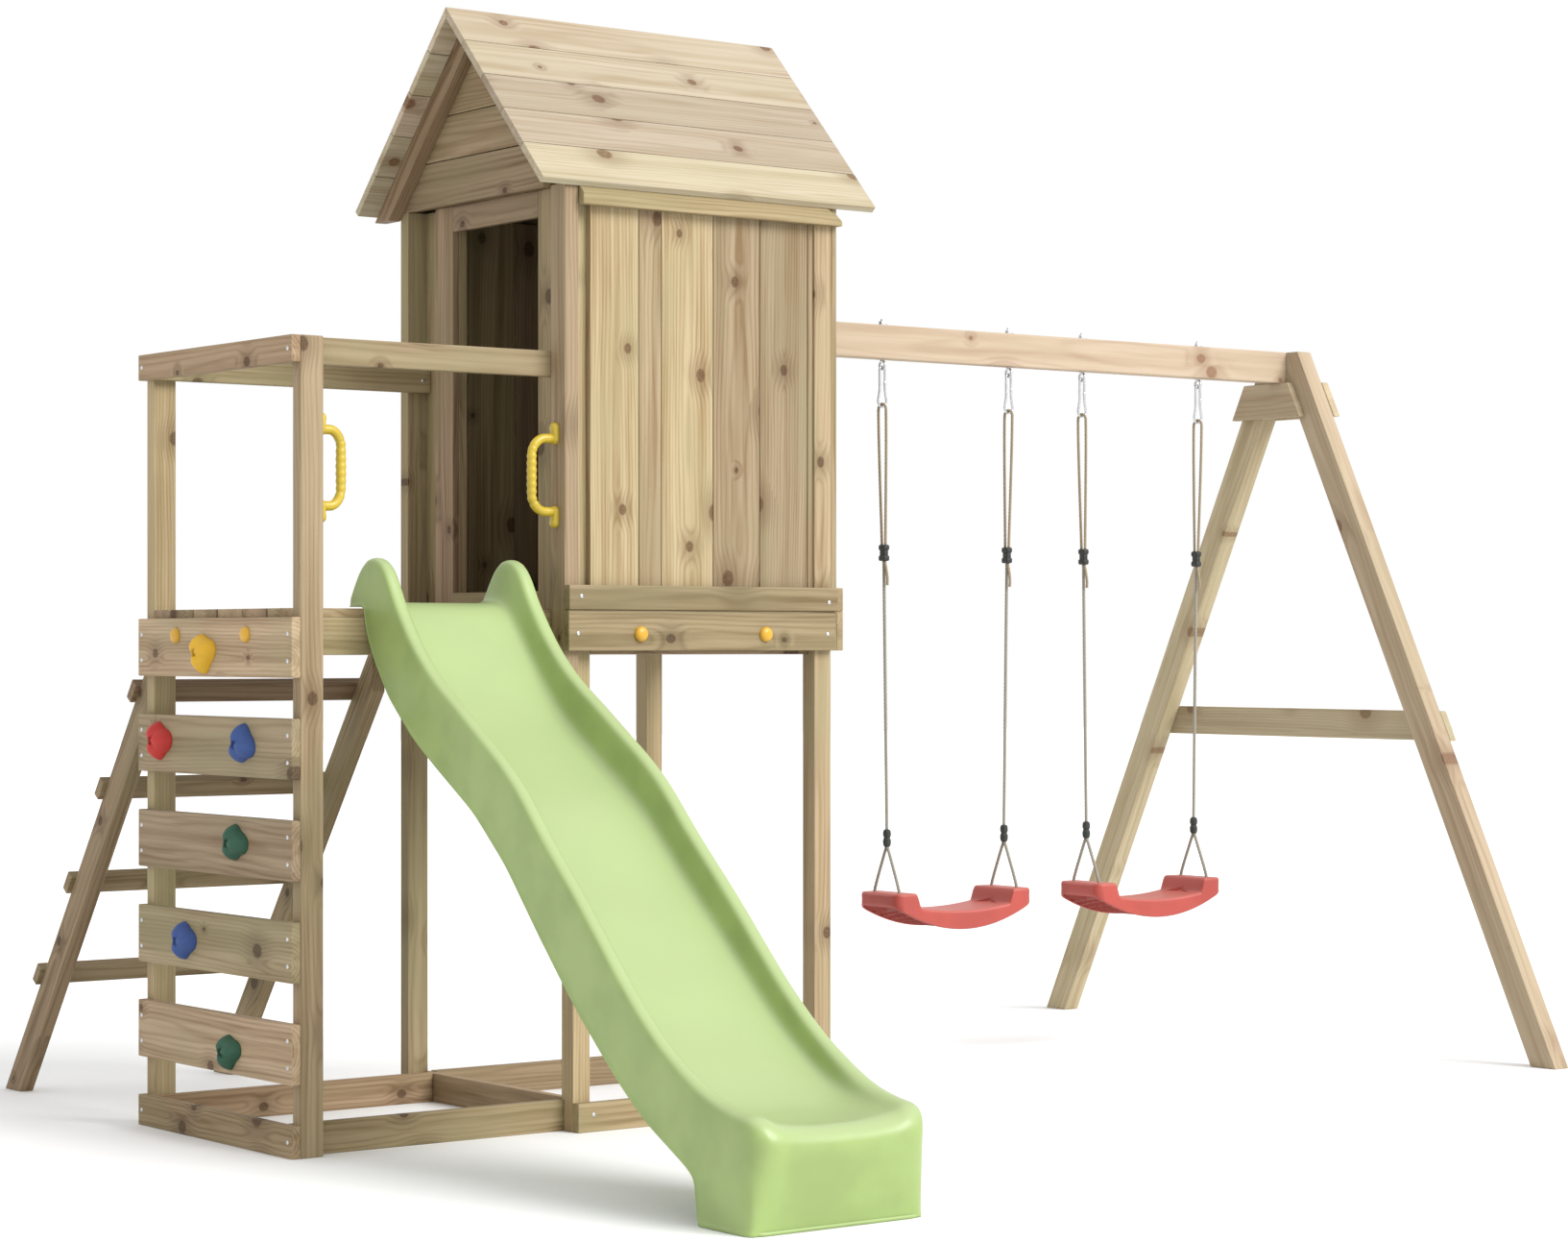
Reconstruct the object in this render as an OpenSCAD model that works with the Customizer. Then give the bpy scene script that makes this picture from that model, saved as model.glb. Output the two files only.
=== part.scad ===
// Wooden playset: a deck with a climbing wall, a ladder and a slide, a roofed tower and a double swing.
// +X runs from the climbing wall to the swing's A-frame, +Y from the slide's exit to the ladder's foot,
// and +Z is up. Millimetres.

/* [Timber] */
// Width of a deck post, along X
post_w = 57; // [50:1:70]
// Depth of a deck post, along Y
post_t = 36; // [30:1:45]
// Width of a tower post
tower_post_w = 50; // [44:1:56]
// Thickness of beams, rails and joists
beam_t = 24; // [20:1:28]
// Thickness of the wall and roof planks
plank_t = 18; // [14:1:20]
// Gap between neighbouring planks
plank_gap = 2; // [1:0.5:4]

/* [Deck] */
// Height of the deck's surface
deck_h = 1210; // [1200:1:1220]
// Length of the deck, from the climbing wall to the tower
deck_l = 716; // [700:1:730]
// Width of the deck, from the slide to the ladder
deck_w = 734; // [720:1:750]
// Thickness of the deck boards
deck_board_t = 20; // [16:1:24]
// Height of the beams under the deck boards
deck_beam_h = 84; // [70:1:90]
// Height of the top rails above the ground
rail_top = 1810; // [1760:5:1850]
// Height of a top rail's section
rail_h = 60; // [50:1:70]
// Height of the base beams
base_h = 72; // [60:1:80]

/* [Climbing wall] */
// Number of climbing boards
wall_boards = 5; // [5:1:5]
// Height of one climbing board
wall_board_h = 134; // [120:1:140]
// Distance from one board's top to the next
wall_pitch = 223.6; // [215:0.1:225]
// Thickness of a climbing board
wall_board_t = 23; // [20:1:26]
// How far a hold stands out of its board
hold_reach = 40; // [36:1:50]

/* [Ladder] */
// Distance of the ladder's foot from the deck's edge, along Y
ladder_run = 825; // [780:5:850]
// Depth of a ladder rail, measured level
ladder_rail_d = 87; // [80:1:95]
// Width of a ladder rail, along X
ladder_rail_w = 36; // [30:1:40]
// Width of a rung, along the slope
rung_w = 52; // [45:1:60]
// Number of rungs
rungs = 4; // [4:1:4]

/* [Slide] */
// Outer width of the slide
slide_w = 430; // [400:5:440]
// Middle of the slide, along X
slide_x = 378; // [365:1:380]
// Thickness of the slide's walls
slide_t = 12; // [10:1:14]
// Width of the rounded rim
slide_rim_w = 38; // [30:1:42]

/* [Tower and roof] */
// Length of the tower, along X
tower_l = 737; // [720:1:750]
// Height of the tower's planked walls
wall_top = 2154; // [2140:1:2160]
// Height of the gables' lower edge
gable_base = 2196; // [2190:1:2196]
// Height of the roof's ridge
ridge_h = 2648; // [2640:1:2655]
// Length of each roof slope, from the ridge to the eave
roof_slope = 617; // [600:1:620]
// Angle of the roof
roof_pitch = 46.5; // [46:0.1:47]
// Planks on each slope
roof_planks = 5; // [5:1:5]

/* [Swing] */
// Height of the swing beam's underside
swing_beam_z = 1882; // [1870:1:1890]
// Height of the swing beam's section
swing_beam_h = 89; // [80:1:95]
// Width of the swing beam
swing_beam_w = 48; // [44:1:52]
// Distance between the two hooks of one swing
hook_spread = 438; // [430:1:445]
// Distance between a seat's two pairs of rope holes
seat_rope_spread = 406; // [400:1:412]
// Length of a seat
seat_l = 468; // [450:1:475]
// Width of a seat
seat_w = 170; // [160:1:180]
// Diameter of the ropes above the adjusters
loop_rope_d = 8; // [7:0.5:8]
// Diameter of the ropes below the adjusters
rope_d = 9; // [8:0.5:10]

/* [A-frame] */
// Half of the distance between the outer edges of the feet
foot_spread = 1025; // [950:5:1050]
// Width of a leg, measured level
leg_d = 87; // [80:1:92]
// Thickness of a leg, along X
leg_t = 54; // [48:1:58]
// Lower edge of the crossbar
crossbar_z = 863; // [820:1:900]

/* [Hidden] */
$fn = 48;

tower_wood = "#b39a6c";
plank_wood = "#bfa375";
swing_wood = "#cbb08a";
slide_green = "#97d84f";
seat_red = "#cf4a44";
yellow = "#e9b91f";
steel = "#b9bcc0";
rope_tan = "#a89a80";
fitting_black = "#33342f";

// Levels
board_top = deck_h - deck_board_t;
deck_beam_z = board_top - deck_beam_h;
rail_z = [rail_top - rail_h, rail_top];
base_z = [0, base_h];

// Plan of the posts
post_near_y = [0, post_t];
post_far_y = [deck_w - post_t, deck_w];
inner_near_x = [deck_l - 38, deck_l];
inner_near_y = [-24, post_t];
inner_far_x = [693, 750];
front_left_x = [deck_l, deck_l + 48];
front_left_y = [0, 48];
tower_end = deck_l + tower_l;
right_post_x = [tower_end - tower_post_w, tower_end];
front_right_y = [-24, 24];
back_right_y = [690, 738];
tower_front = -24;
tower_back = 738;

// Play between timbers of one sub-part that butt together
butt_gap = 1;

// Roof
ridge_y = 380;
roof_x = [605, 1576];
roof_drop = plank_t / cos(roof_pitch);
rafter_d = 50;
rafter_t = 34;
gable_t = 23;
gable_left_x = [deck_l - gable_t, deck_l];
gable_right_x = [tower_end, tower_end + gable_t];

// Swing
swing_y = 474;
swing_x = [2229, 2933];
aframe_x = [3480, 3480 + leg_t];
gusset_t = 24;
eye_z = swing_beam_z - 16;
eye_ring_r = 11;
wire_r = 3.5;
hook_top_z = eye_z - eye_ring_r + 2 * wire_r + 0.3;
hook_neck_r = 8.5;
hook_bulb_r = 14;
hook_bottom_z = 1757;
loop_bend_r = 16;
loop_top_z = hook_bottom_z + wire_r + loop_rope_d / 2;
adjuster_z = [1350, 1393];
ferrule_z = [596, 641];
seat_top_z = 475;
seat_hole_y = 52;
leg_slope = 0.486;

// The object's reference point is the middle of its footprint
front_y = -1470;
back_y = deck_w + ladder_run;
left_x = -wall_board_t - hold_reach;
right_x = aframe_x[1] + gusset_t + 6;
mid_x = (left_x + right_x) / 2;
mid_y = (front_y + back_y) / 2;

// ---- Helpers ----

module in_frame() {
    translate([-mid_x, -mid_y, 0]) children();
}

// A straight piece of timber between two X, two Y and two Z values
module timber(x, y, z) {
    translate([x[0], y[0], z[0]])
        cube([x[1] - x[0], y[1] - y[0], z[1] - z[0]]);
}

// A (Y, Z) outline as thick as the X span
module along_x(x) {
    translate([x[0], 0, 0]) rotate([90, 0, 90]) linear_extrude(x[1] - x[0]) children();
}

// An (X, Z) outline as thick as the Y span
module along_y(y) {
    translate([0, y[1], 0]) rotate([90, 0, 0]) linear_extrude(y[1] - y[0]) children();
}

function unit(v) = v / norm(v);

function tangent(route, i, closed) =
    let (n = len(route))
    let (before = closed ? (i + n - 1) % n : max(i - 1, 0))
    let (after = closed ? (i + 1) % n : min(i + 1, n - 1))
    unit(route[after] - route[before]);

// Circles of points round each point of a flat route whose plane has that normal
function tube_points(route, r, normal, sides, closed) = [
    for (i = [0:len(route) - 1])
        let (t = tangent(route, i, closed))
        for (k = [0:sides - 1])
            route[i] + r * (cos(360 * k / sides) * normal + sin(360 * k / sides) * cross(t, normal))
];

module tube(route, r, normal, sides = 8, closed = false) {
    n = len(route);
    last = closed ? n - 1 : n - 2;
    walls = [
        for (i = [0:last], k = [0:sides - 1])
            let (j = (i + 1) % n, m = (k + 1) % sides)
            [i * sides + k, j * sides + k, j * sides + m, i * sides + m]
    ];
    start_cap = [for (k = [0:sides - 1]) k];
    end_cap = [for (k = [sides - 1:-1:0]) (n - 1) * sides + k];
    faces = closed ? walls : concat(walls, [start_cap, end_cap]);
    polyhedron(tube_points(route, r, normal, sides, closed), faces);
}

// Points at even steps on the straight line between two points
function steps(a, b, count) = [for (i = [0:count]) a + (b - a) * i / count];

// Planks that stand side by side: edges is the list of the seams between them
module planks_x(edges, y, z) {
    for (i = [0:len(edges) - 2])
        timber([edges[i] + plank_gap / 2, edges[i + 1] - plank_gap / 2], y, z);
}

module planks_y(x, edges, z) {
    for (i = [0:len(edges) - 2])
        timber(x, [edges[i] + plank_gap / 2, edges[i + 1] - plank_gap / 2], z);
}

function even(a, b, count) = [for (i = [0:count]) a + (b - a) * i / count];

// ---- Posts ----

module wall_post_near() in_frame() color(tower_wood)
    timber([0, post_w], post_near_y, [0, rail_top]);

module wall_post_far() in_frame() color(tower_wood)
    timber([0, post_w], post_far_y, [0, rail_top]);

inner_near_bottom = 1000;
inner_near_top = 2194;

module inner_post_near() in_frame() color(tower_wood)
    timber(inner_near_x, inner_near_y, [inner_near_bottom, inner_near_top]);

module inner_post_far() in_frame() color(tower_wood)
    timber(inner_far_x, post_far_y, [0, gable_base]);

post_top = 2215;

module tower_post_front_left() in_frame() color(tower_wood)
    timber(front_left_x, front_left_y, [0, post_top]);

module tower_post_front_right() in_frame() color(tower_wood)
    timber(right_post_x, front_right_y, [0, inner_near_top]);

module tower_post_back_right() in_frame() color(tower_wood)
    timber(right_post_x, back_right_y, [0, post_top]);

module swing_beam_stud() in_frame() color(tower_wood)
    timber(right_post_x, [swing_y - 24, swing_y + 24], [deck_h, gable_base]);

// ---- Climbing wall ----

function wall_board_top(i) = board_top - i * wall_pitch;

module climbing_board(i) {
    timber([-wall_board_t, 0], [0, deck_w], [wall_board_top(i) - wall_board_h, wall_board_top(i)]);
}

module climbing_board_1() in_frame() color(plank_wood) climbing_board(0);
module climbing_board_2() in_frame() color(plank_wood) climbing_board(1);
module climbing_board_3() in_frame() color(plank_wood) climbing_board(2);
module climbing_board_4() in_frame() color(plank_wood) climbing_board(3);
module climbing_board_5() in_frame() color(plank_wood) climbing_board(4);

module wall_base_plank() in_frame() color(tower_wood)
    timber([-wall_board_t, 0], [0, deck_w], base_z);

module wall_top_beam() in_frame() color(tower_wood)
    timber([-wall_board_t, 0], [0, deck_w], rail_z);

// A climbing hold: a rounded three-cornered boss with a sunk bolt, at (y, z) on the boards' face
module hold(y, z, height, turn) {
    corner = height * 0.31;
    base_r = height * 0.27;
    ball_r = min(base_r, hold_reach / 2 - 1);
    translate([-wall_board_t, y, z]) rotate([0, -90, 0]) rotate(turn)
        difference() {
            hull() {
                for (a = [0, 120, 240])
                    rotate(a) translate([corner, 0, 0]) cylinder(r = base_r, h = 12, $fn = 24);
                translate([corner * 0.5, 0, hold_reach - 14]) sphere(r = 14, $fn = 24);
                translate([-corner * 0.4, 0, hold_reach / 2]) sphere(r = ball_r, $fn = 24);
            }
            translate([0, 0, hold_reach * 0.45]) cylinder(r = 7, h = hold_reach, $fn = 24);
        }
}

module hold_red() in_frame() color(seat_red) hold(611, 906, 84, -85);
module hold_yellow() in_frame() color(yellow) hold(396, 1111, 84, -75);

module holds_blue() in_frame() color("#3c5fb0") {
    hold(209, 906, 82, -105);
    hold(487, 449, 80, -90);
}

module holds_green() in_frame() color("#1f6b4b") {
    hold(243, 684, 78, -95);
    hold(272, 213, 74, -80);
}

// A domed cap of that radius and height, standing on the XY plane
module dome(r, h) {
    ball = (r * r + h * h) / (2 * h);
    intersection() {
        translate([0, 0, h - ball]) sphere(r = ball);
        translate([-r, -r, 0]) cube([2 * r, 2 * r, h]);
    }
}

cap_r = 18;
cap_h = 13;
wall_caps = [[541, 1150], [206, 1152]];
skirt_caps = [[877, 1154], [1240, 1154]];
lower_skirt_y = [tower_front - 20, tower_front];
upper_skirt_y = [tower_front - 26, tower_front];

module bolt_caps() in_frame() color(yellow) {
    for (c = wall_caps)
        translate([-wall_board_t, c[0], c[1]]) rotate([0, -90, 0]) dome(cap_r, cap_h);
    for (c = skirt_caps)
        translate([c[0], lower_skirt_y[0], c[1]]) rotate([90, 0, 0]) dome(cap_r, cap_h);
}

// ---- Deck and base frame ----

deck_near_y = post_t;
deck_near_beam_y = [deck_near_y, deck_near_y + beam_t];
deck_far_beam_y = [deck_w - 30, deck_w];
rail_far_y = [deck_w - post_t - beam_t, deck_w - post_t];
rail_far_end = 744;

module guard_rails() in_frame() color(tower_wood) {
    timber([0, deck_l], deck_near_beam_y, rail_z);
    timber([0, rail_far_end], rail_far_y, rail_z);
}

cross_base_x = [inner_far_x[1] + butt_gap, inner_far_x[1] + beam_t];

module base_beams() in_frame() color(tower_wood) {
    timber([0, deck_l], deck_near_beam_y, base_z);
    timber([0, inner_far_x[1]], rail_far_y, base_z);
    timber(cross_base_x, [front_left_y[1], deck_w], [0, base_h - 2]);
}

module tower_base_boards() in_frame() color(tower_wood) {
    timber([deck_l, right_post_x[0]], [tower_front, 0], [0, base_h - 4]);
    timber([cross_base_x[1], right_post_x[0]], [700, 700 + beam_t], base_z);
    timber([tower_end, tower_end + beam_t], [tower_front, tower_back], base_z);
}

joist_z = [deck_beam_z, board_top];
left_joist_x = [inner_far_x[1] - beam_t, inner_far_x[1]];

module deck_frame() in_frame() color(tower_wood) {
    timber([0, deck_l], deck_near_beam_y, joist_z);
    timber([post_w, inner_far_x[0]], deck_far_beam_y, joist_z);
    timber([350, 350 + beam_t], [deck_near_beam_y[1] + butt_gap, deck_far_beam_y[0] - butt_gap], joist_z);
    timber([front_left_x[1], right_post_x[0]], [0, beam_t], joist_z);
    timber([inner_far_x[1] + butt_gap, right_post_x[0]], [704, 704 + beam_t], joist_z);
    timber(left_joist_x, [front_left_y[1], post_far_y[0]], joist_z);
    timber([1416, 1416 + beam_t], [front_right_y[1], back_right_y[0]], joist_z);
}

deck_board_z = [board_top, deck_h];

// The posts that the deck boards are notched round
module post_notches() {
    timber([0, post_w], post_far_y, [0, rail_top]);
    timber(inner_far_x, post_far_y, [0, gable_base]);
    timber(front_left_x, front_left_y, [0, post_top]);
    timber(right_post_x, front_right_y, [0, post_top]);
    timber(right_post_x, back_right_y, [0, post_top]);
}

module deck_boards() in_frame() color(plank_wood)
    difference() {
        planks_y([0, deck_l], even(deck_near_y, deck_w, 6), deck_board_z);
        post_notches();
    }

module tower_floor_boards() in_frame() color(plank_wood)
    difference() {
        planks_y([deck_l, tower_end], even(0, tower_back, 6), deck_board_z);
        post_notches();
    }

// ---- Ladder ----

ladder_slope = 0.7276;
ladder_left_x = [20, 20 + ladder_rail_w];
ladder_right_x = [612, 612 + ladder_rail_w];
rung_x = [8, 660];
rung_t = 24;
rung_top_z = 1012;
rung_pitch = 237.3;

// Y of the ladder's outer edge at height z
function ladder_outer_y(z) = back_y - ladder_slope * z;

module ladder_rail(x) {
    inner_foot = back_y - ladder_rail_d;
    along_x(x) polygon([
        [back_y, 0],
        [deck_w, ladder_run / ladder_slope],
        [deck_w, (inner_foot - deck_w) / ladder_slope],
        [inner_foot, 0]
    ]);
}

module ladder_rail_left() in_frame() color(tower_wood) ladder_rail(ladder_left_x);
module ladder_rail_right() in_frame() color(tower_wood) ladder_rail(ladder_right_x);

// Rungs lie on the rails' outer sloping edge
module ladder_rungs() in_frame() color(tower_wood)
    for (i = [0:rungs - 1]) {
        z = rung_top_z - i * rung_pitch;
        along_x(rung_x)
            translate([ladder_outer_y(z), z]) rotate(atan(ladder_slope))
                translate([0, -rung_w / 2]) square([rung_t, rung_w]);
    }

// ---- Slide ----

slide_x_span = [slide_x - slide_w / 2, slide_x + slide_w / 2];

// Side outline: the rim from the deck to the exit, then the lower edge back up to the deck
slide_rim = [
    [100, 1238], [72, 1290], [45, 1316], [15, 1325], [-20, 1318], [-50, 1290], [-80, 1238], [-165, 1132],
    [-255, 1056], [-345, 1000], [-435, 942], [-520, 888], [-600, 826], [-690, 736], [-840, 600],
    [-955, 487], [-1045, 405], [-1135, 336], [-1195, 301], [-1250, 273], [-1310, 249], [-1360, 237],
    [-1406, 229], [-1438, 214], [-1458, 196], [-1467, 175]
];
slide_lower = [
    [front_y, 150], [-1448, 0], [-1265, 0], [-1262, 90], [-1225, 113], [-1080, 187], [-976, 262],
    [-825, 392], [-695, 522], [-560, 665], [-430, 772], [-265, 868], [-170, 928], [-65, 1018],
    [0, 1105], [34, 1168], [35, deck_h + 2], [100, deck_h + 2]
];
// Upper surface of the trough
slide_floor = [
    [100, 1224], [20, 1222], [-25, 1204], [-80, 1140], [-165, 1040], [-255, 958], [-345, 898],
    [-435, 842], [-520, 788], [-600, 724], [-690, 640], [-840, 510], [-955, 406], [-1045, 332],
    [-1135, 274], [-1230, 226], [-1330, 201], [-1440, 198]
];

function lowered(outline, by) = [for (i = [len(outline) - 1:-1:0]) outline[i] - [0, by]];

module slide() in_frame() color(slide_green) {
    inner_x = [slide_x_span[0] + slide_t, slide_x_span[1] - slide_t];
    for (x = [[slide_x_span[0], inner_x[0]], [inner_x[1], slide_x_span[1]]])
        along_x(x) polygon(concat(slide_rim, slide_lower));
    for (x = [slide_x_span[0], slide_x_span[1] - slide_rim_w])
        along_x([x, x + slide_rim_w]) polygon(concat(slide_rim, lowered(slide_rim, slide_t)));
    along_x(inner_x) polygon(concat(slide_floor, lowered(slide_floor, slide_t)));
    along_x(inner_x) polygon([
        [-1440, 198], [-1458, 190], [front_y, 150], [-1448, 0], [-1448 + slide_t, 0],
        [front_y + slide_t, 150], [-1448, 180], [-1440, 186]
    ]);
}

// ---- Grab handles ----

handle_z = [1398, 1643];
handle_bar_r = 13;
handle_pad_r = 14;
handle_pad_t = 12;
handle_bar_in = 38;

// Route of a handle's bar: out of one pad, bowed, and back into the other; reach is negative towards -X
function handle_route(x, y, reach) =
    let (low = handle_z[0] + handle_bar_in, high = handle_z[1] - handle_bar_in, bow = 40)
    concat(
        [[x, y, low]],
        [for (a = [0:15:90]) [x + reach * (0.45 + 0.55 * sin(a)), y, low + bow * (1 - cos(a))]],
        [for (a = [90:-15:0]) [x + reach * (0.45 + 0.55 * sin(a)), y, high - bow * (1 - cos(a))]],
        [[x, y, high]]
    );

module handle(x, y, reach) {
    bar_reach = reach > 0 ? reach - handle_bar_r : reach + handle_bar_r;
    tube(handle_route(x + 4 * sign(reach), y, bar_reach), handle_bar_r, [0, 1, 0], sides = 12);
    for (end = [-1, 1])
        hull()
            for (in = [handle_pad_r, handle_bar_in])
                translate([
                    reach > 0 ? x : x - handle_pad_t, y,
                    end > 0 ? handle_z[1] - in : handle_z[0] + in
                ])
                    rotate([0, 90, 0]) cylinder(r = handle_pad_r, h = handle_pad_t, $fn = 24);
}

module handle_left() in_frame() color(yellow) handle(post_w, post_t / 2, 66);
module handle_right() in_frame() color(yellow) handle(inner_near_x[0], 14, -78);

// ---- Tower ----

upper_skirt_z = [deck_h, deck_h + 57];
lower_skirt_z = [deck_h - 95, deck_h];
side_plank_x = [tower_end, tower_end + plank_t];
side_skirt_x = [side_plank_x[1], side_plank_x[1] + 20];

module upper_skirt_boards() in_frame() color(tower_wood) {
    timber([inner_near_x[0] - 4, tower_end + 2], upper_skirt_y, upper_skirt_z);
    timber(side_skirt_x, [tower_front, tower_back], upper_skirt_z);
}

module lower_skirt_boards() in_frame() color(tower_wood) {
    timber([inner_near_x[0] - 2, tower_end], lower_skirt_y, lower_skirt_z);
    timber(side_skirt_x, [tower_front, tower_back], lower_skirt_z);
}

front_seams = [752, 889.5, 954, 1104.5, 1242, 1386];

module front_wall_planks() in_frame() color(plank_wood) {
    planks_x(front_seams, [-plank_t, 0], [board_top, wall_top]);
    timber([1387, right_post_x[0]], [-plank_t, 0], [board_top, wall_top]);
}

module back_wall_planks() in_frame() color(plank_wood)
    planks_x(even(inner_far_x[1], tower_end, 5), [tower_back, tower_back + plank_t], [board_top, gable_base]);

module side_wall_planks() in_frame() color(plank_wood)
    planks_y(side_plank_x, even(tower_front, tower_back, 5), [lower_skirt_z[0], gable_base]);

door_y = [148, 527];
door_z = [deck_h + 45, 2133];
door_plank_x = [deck_l, deck_l + plank_t];

// The far plank stands behind the end of the deck's rail
module door_wall_planks() in_frame() color(plank_wood) {
    for (y = [[front_left_y[1], door_y[0]], [door_y[1], 608]])
        timber(door_plank_x, y, [deck_h, gable_base]);
    timber([rail_far_end + 1, rail_far_end + 1 + plank_t], [610, post_far_y[0] - 1], [deck_h, gable_base]);
}

module door_frame() in_frame() color(tower_wood) {
    stud_x = [door_plank_x[1], door_plank_x[1] + beam_t];
    timber(stud_x, [door_y[0] - beam_t, door_y[0]], [deck_h, gable_base]);
    timber(stud_x, [door_y[1], door_y[1] + beam_t], [deck_h, gable_base]);
    timber([door_plank_x[0], door_plank_x[1] - butt_gap], door_y, [door_z[1], gable_base]);
    timber([door_plank_x[0], door_plank_x[1] - butt_gap], door_y, [deck_h, door_z[0]]);
}

// ---- Roof ----

// Height of the planks' underside at y
function roof_under(y) = ridge_h - roof_drop - abs(y - ridge_y) * tan(roof_pitch);

// Half of the gable's width at height z
function gable_half(z) = (ridge_h - roof_drop - z) / tan(roof_pitch);

gable_seams = [gable_base, 2305, 2412, ridge_h - roof_drop];

module gable(x)
    for (i = [0:len(gable_seams) - 2]) {
        low = gable_seams[i] + (i == 0 ? 0 : plank_gap / 2);
        high = gable_seams[i + 1] - (i == len(gable_seams) - 2 ? 12 : plank_gap / 2);
        along_x(x) polygon([
            [ridge_y - gable_half(low), low], [ridge_y + gable_half(low), low],
            [ridge_y + gable_half(high), high], [ridge_y - gable_half(high), high]
        ]);
    }

module gable_boards() in_frame() color(plank_wood) {
    gable(gable_left_x);
    gable(gable_right_x);
}

rafter_foot_z = 2176;
rafter_drop = rafter_d / cos(roof_pitch);

// The far rafter runs out to the eave, and the near one stops behind the near post
module rafter_pair(x) {
    far_top = ridge_y + butt_gap / 2;
    along_x(x) polygon([
        [far_top, roof_under(far_top)], [ridge_y + gable_half(rafter_foot_z), rafter_foot_z],
        [ridge_y + gable_half(rafter_foot_z + rafter_drop), rafter_foot_z],
        [far_top, roof_under(far_top) - rafter_drop]
    ]);
    near_top = ridge_y - butt_gap / 2;
    near_end = post_t + 2;
    along_x(x) polygon([
        [near_top, roof_under(near_top)], [near_end, roof_under(near_end)],
        [near_end, roof_under(near_end) - rafter_drop], [near_top, roof_under(near_top) - rafter_drop]
    ]);
}

module rafters() in_frame() color(tower_wood) {
    rafter_pair([gable_left_x[0] - rafter_t, gable_left_x[0]]);
    rafter_pair([gable_right_x[1], gable_right_x[1] + rafter_t]);
}

purlin_z = 2146;
purlin_near_y = [-46, tower_front];
purlin_far_y = [tower_back + plank_t, tower_back + plank_t + beam_t];

module eave_purlins() in_frame() color(tower_wood) {
    intersection() {
        along_x([deck_l, 1472]) polygon([
            [purlin_near_y[0], purlin_z], [purlin_near_y[1], purlin_z],
            [purlin_near_y[1], 2195], [purlin_near_y[0], roof_under(purlin_near_y[0])]
        ]);
        along_y([purlin_near_y[0], purlin_near_y[1]]) polygon([
            [deck_l, purlin_z], [1472, purlin_z], [1472, 2158], [1423, 2200], [deck_l, 2200]
        ]);
    }
    timber([inner_far_x[1], tower_end], purlin_far_y, [purlin_z, roof_under(purlin_far_y[1])]);
}

// A point on a slope, s down from the ridge and n in from its upper face; side is -1 near and 1 far
function slope_point(s, n, side) = [
    ridge_y + side * (s * cos(roof_pitch) - n * sin(roof_pitch)),
    ridge_h - s * sin(roof_pitch) - n * cos(roof_pitch)
];

module slope_planks(side) {
    width = roof_slope / roof_planks;
    for (i = [0:roof_planks - 1]) {
        high = i == 0 ? 0 : i * width + plank_gap / 2;
        high_under = i == 0 ? plank_t * tan(roof_pitch) : high;
        low = i == roof_planks - 1 ? roof_slope : (i + 1) * width - plank_gap / 2;
        along_x(roof_x) polygon([
            slope_point(high, 0, side), slope_point(low, 0, side),
            slope_point(low, plank_t, side), slope_point(high_under, plank_t, side)
        ]);
    }
}

module roof_planks_front() in_frame() color(plank_wood) slope_planks(-1);
module roof_planks_back() in_frame() color(plank_wood) slope_planks(1);

// ---- Swing beam and A-frame ----

swing_beam_x = [side_plank_x[1], aframe_x[0]];
swing_beam_y = [swing_y - swing_beam_w / 2, swing_y + swing_beam_w / 2];
swing_beam_top = swing_beam_z + swing_beam_h;
hook_xs = [for (x = swing_x, side = [-1, 1]) x + side * hook_spread / 2];
eye_shank_r = 5;

module swing_beam() in_frame() color(swing_wood)
    difference() {
        timber(swing_beam_x, swing_beam_y, [swing_beam_z, swing_beam_top]);
        for (x = hook_xs)
            translate([x, swing_y, swing_beam_z - 1]) cylinder(r = eye_shank_r + 0.3, h = swing_beam_h + 2);
    }

// A leg, from its foot to the plumb cut where the two legs meet; side is -1 near and 1 far
module aframe_leg(side) {
    inner = foot_spread - leg_d;
    along_x(aframe_x) polygon([
        [swing_y + side * foot_spread, 0],
        [swing_y + side * (foot_spread - leg_slope * swing_beam_top), swing_beam_top],
        [swing_y, swing_beam_top],
        [swing_y, inner / leg_slope],
        [swing_y + side * inner, 0]
    ]);
}

module aframe_leg_near() in_frame() color(swing_wood) aframe_leg(-1);
module aframe_leg_far() in_frame() color(swing_wood) aframe_leg(1);

gusset_z = [swing_beam_z - 100, swing_beam_z];

module gusset(x, top, bottom) {
    along_x(x) polygon([
        [swing_y + bottom[0], gusset_z[0]], [swing_y + bottom[1], gusset_z[0]],
        [swing_y + top[1], gusset_z[1]], [swing_y + top[0], gusset_z[1]]
    ]);
}

module aframe_gusset_front() in_frame() color(swing_wood)
    gusset([aframe_x[0] - gusset_t, aframe_x[0]], [-50, 127], [-100, 176]);

module aframe_gusset_rear() in_frame() color(swing_wood)
    gusset([aframe_x[1], aframe_x[1] + gusset_t], [-113, 113], [-162, 162]);

module aframe_crossbar() in_frame() color(swing_wood) {
    high_z = crossbar_z + 82;
    low_half = foot_spread - leg_slope * crossbar_z;
    high_half = foot_spread - leg_slope * high_z;
    along_x([aframe_x[1], aframe_x[1] + gusset_t]) polygon([
        [swing_y - low_half, crossbar_z], [swing_y + low_half, crossbar_z],
        [swing_y + high_half, high_z], [swing_y - high_half, high_z]
    ]);
}

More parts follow.
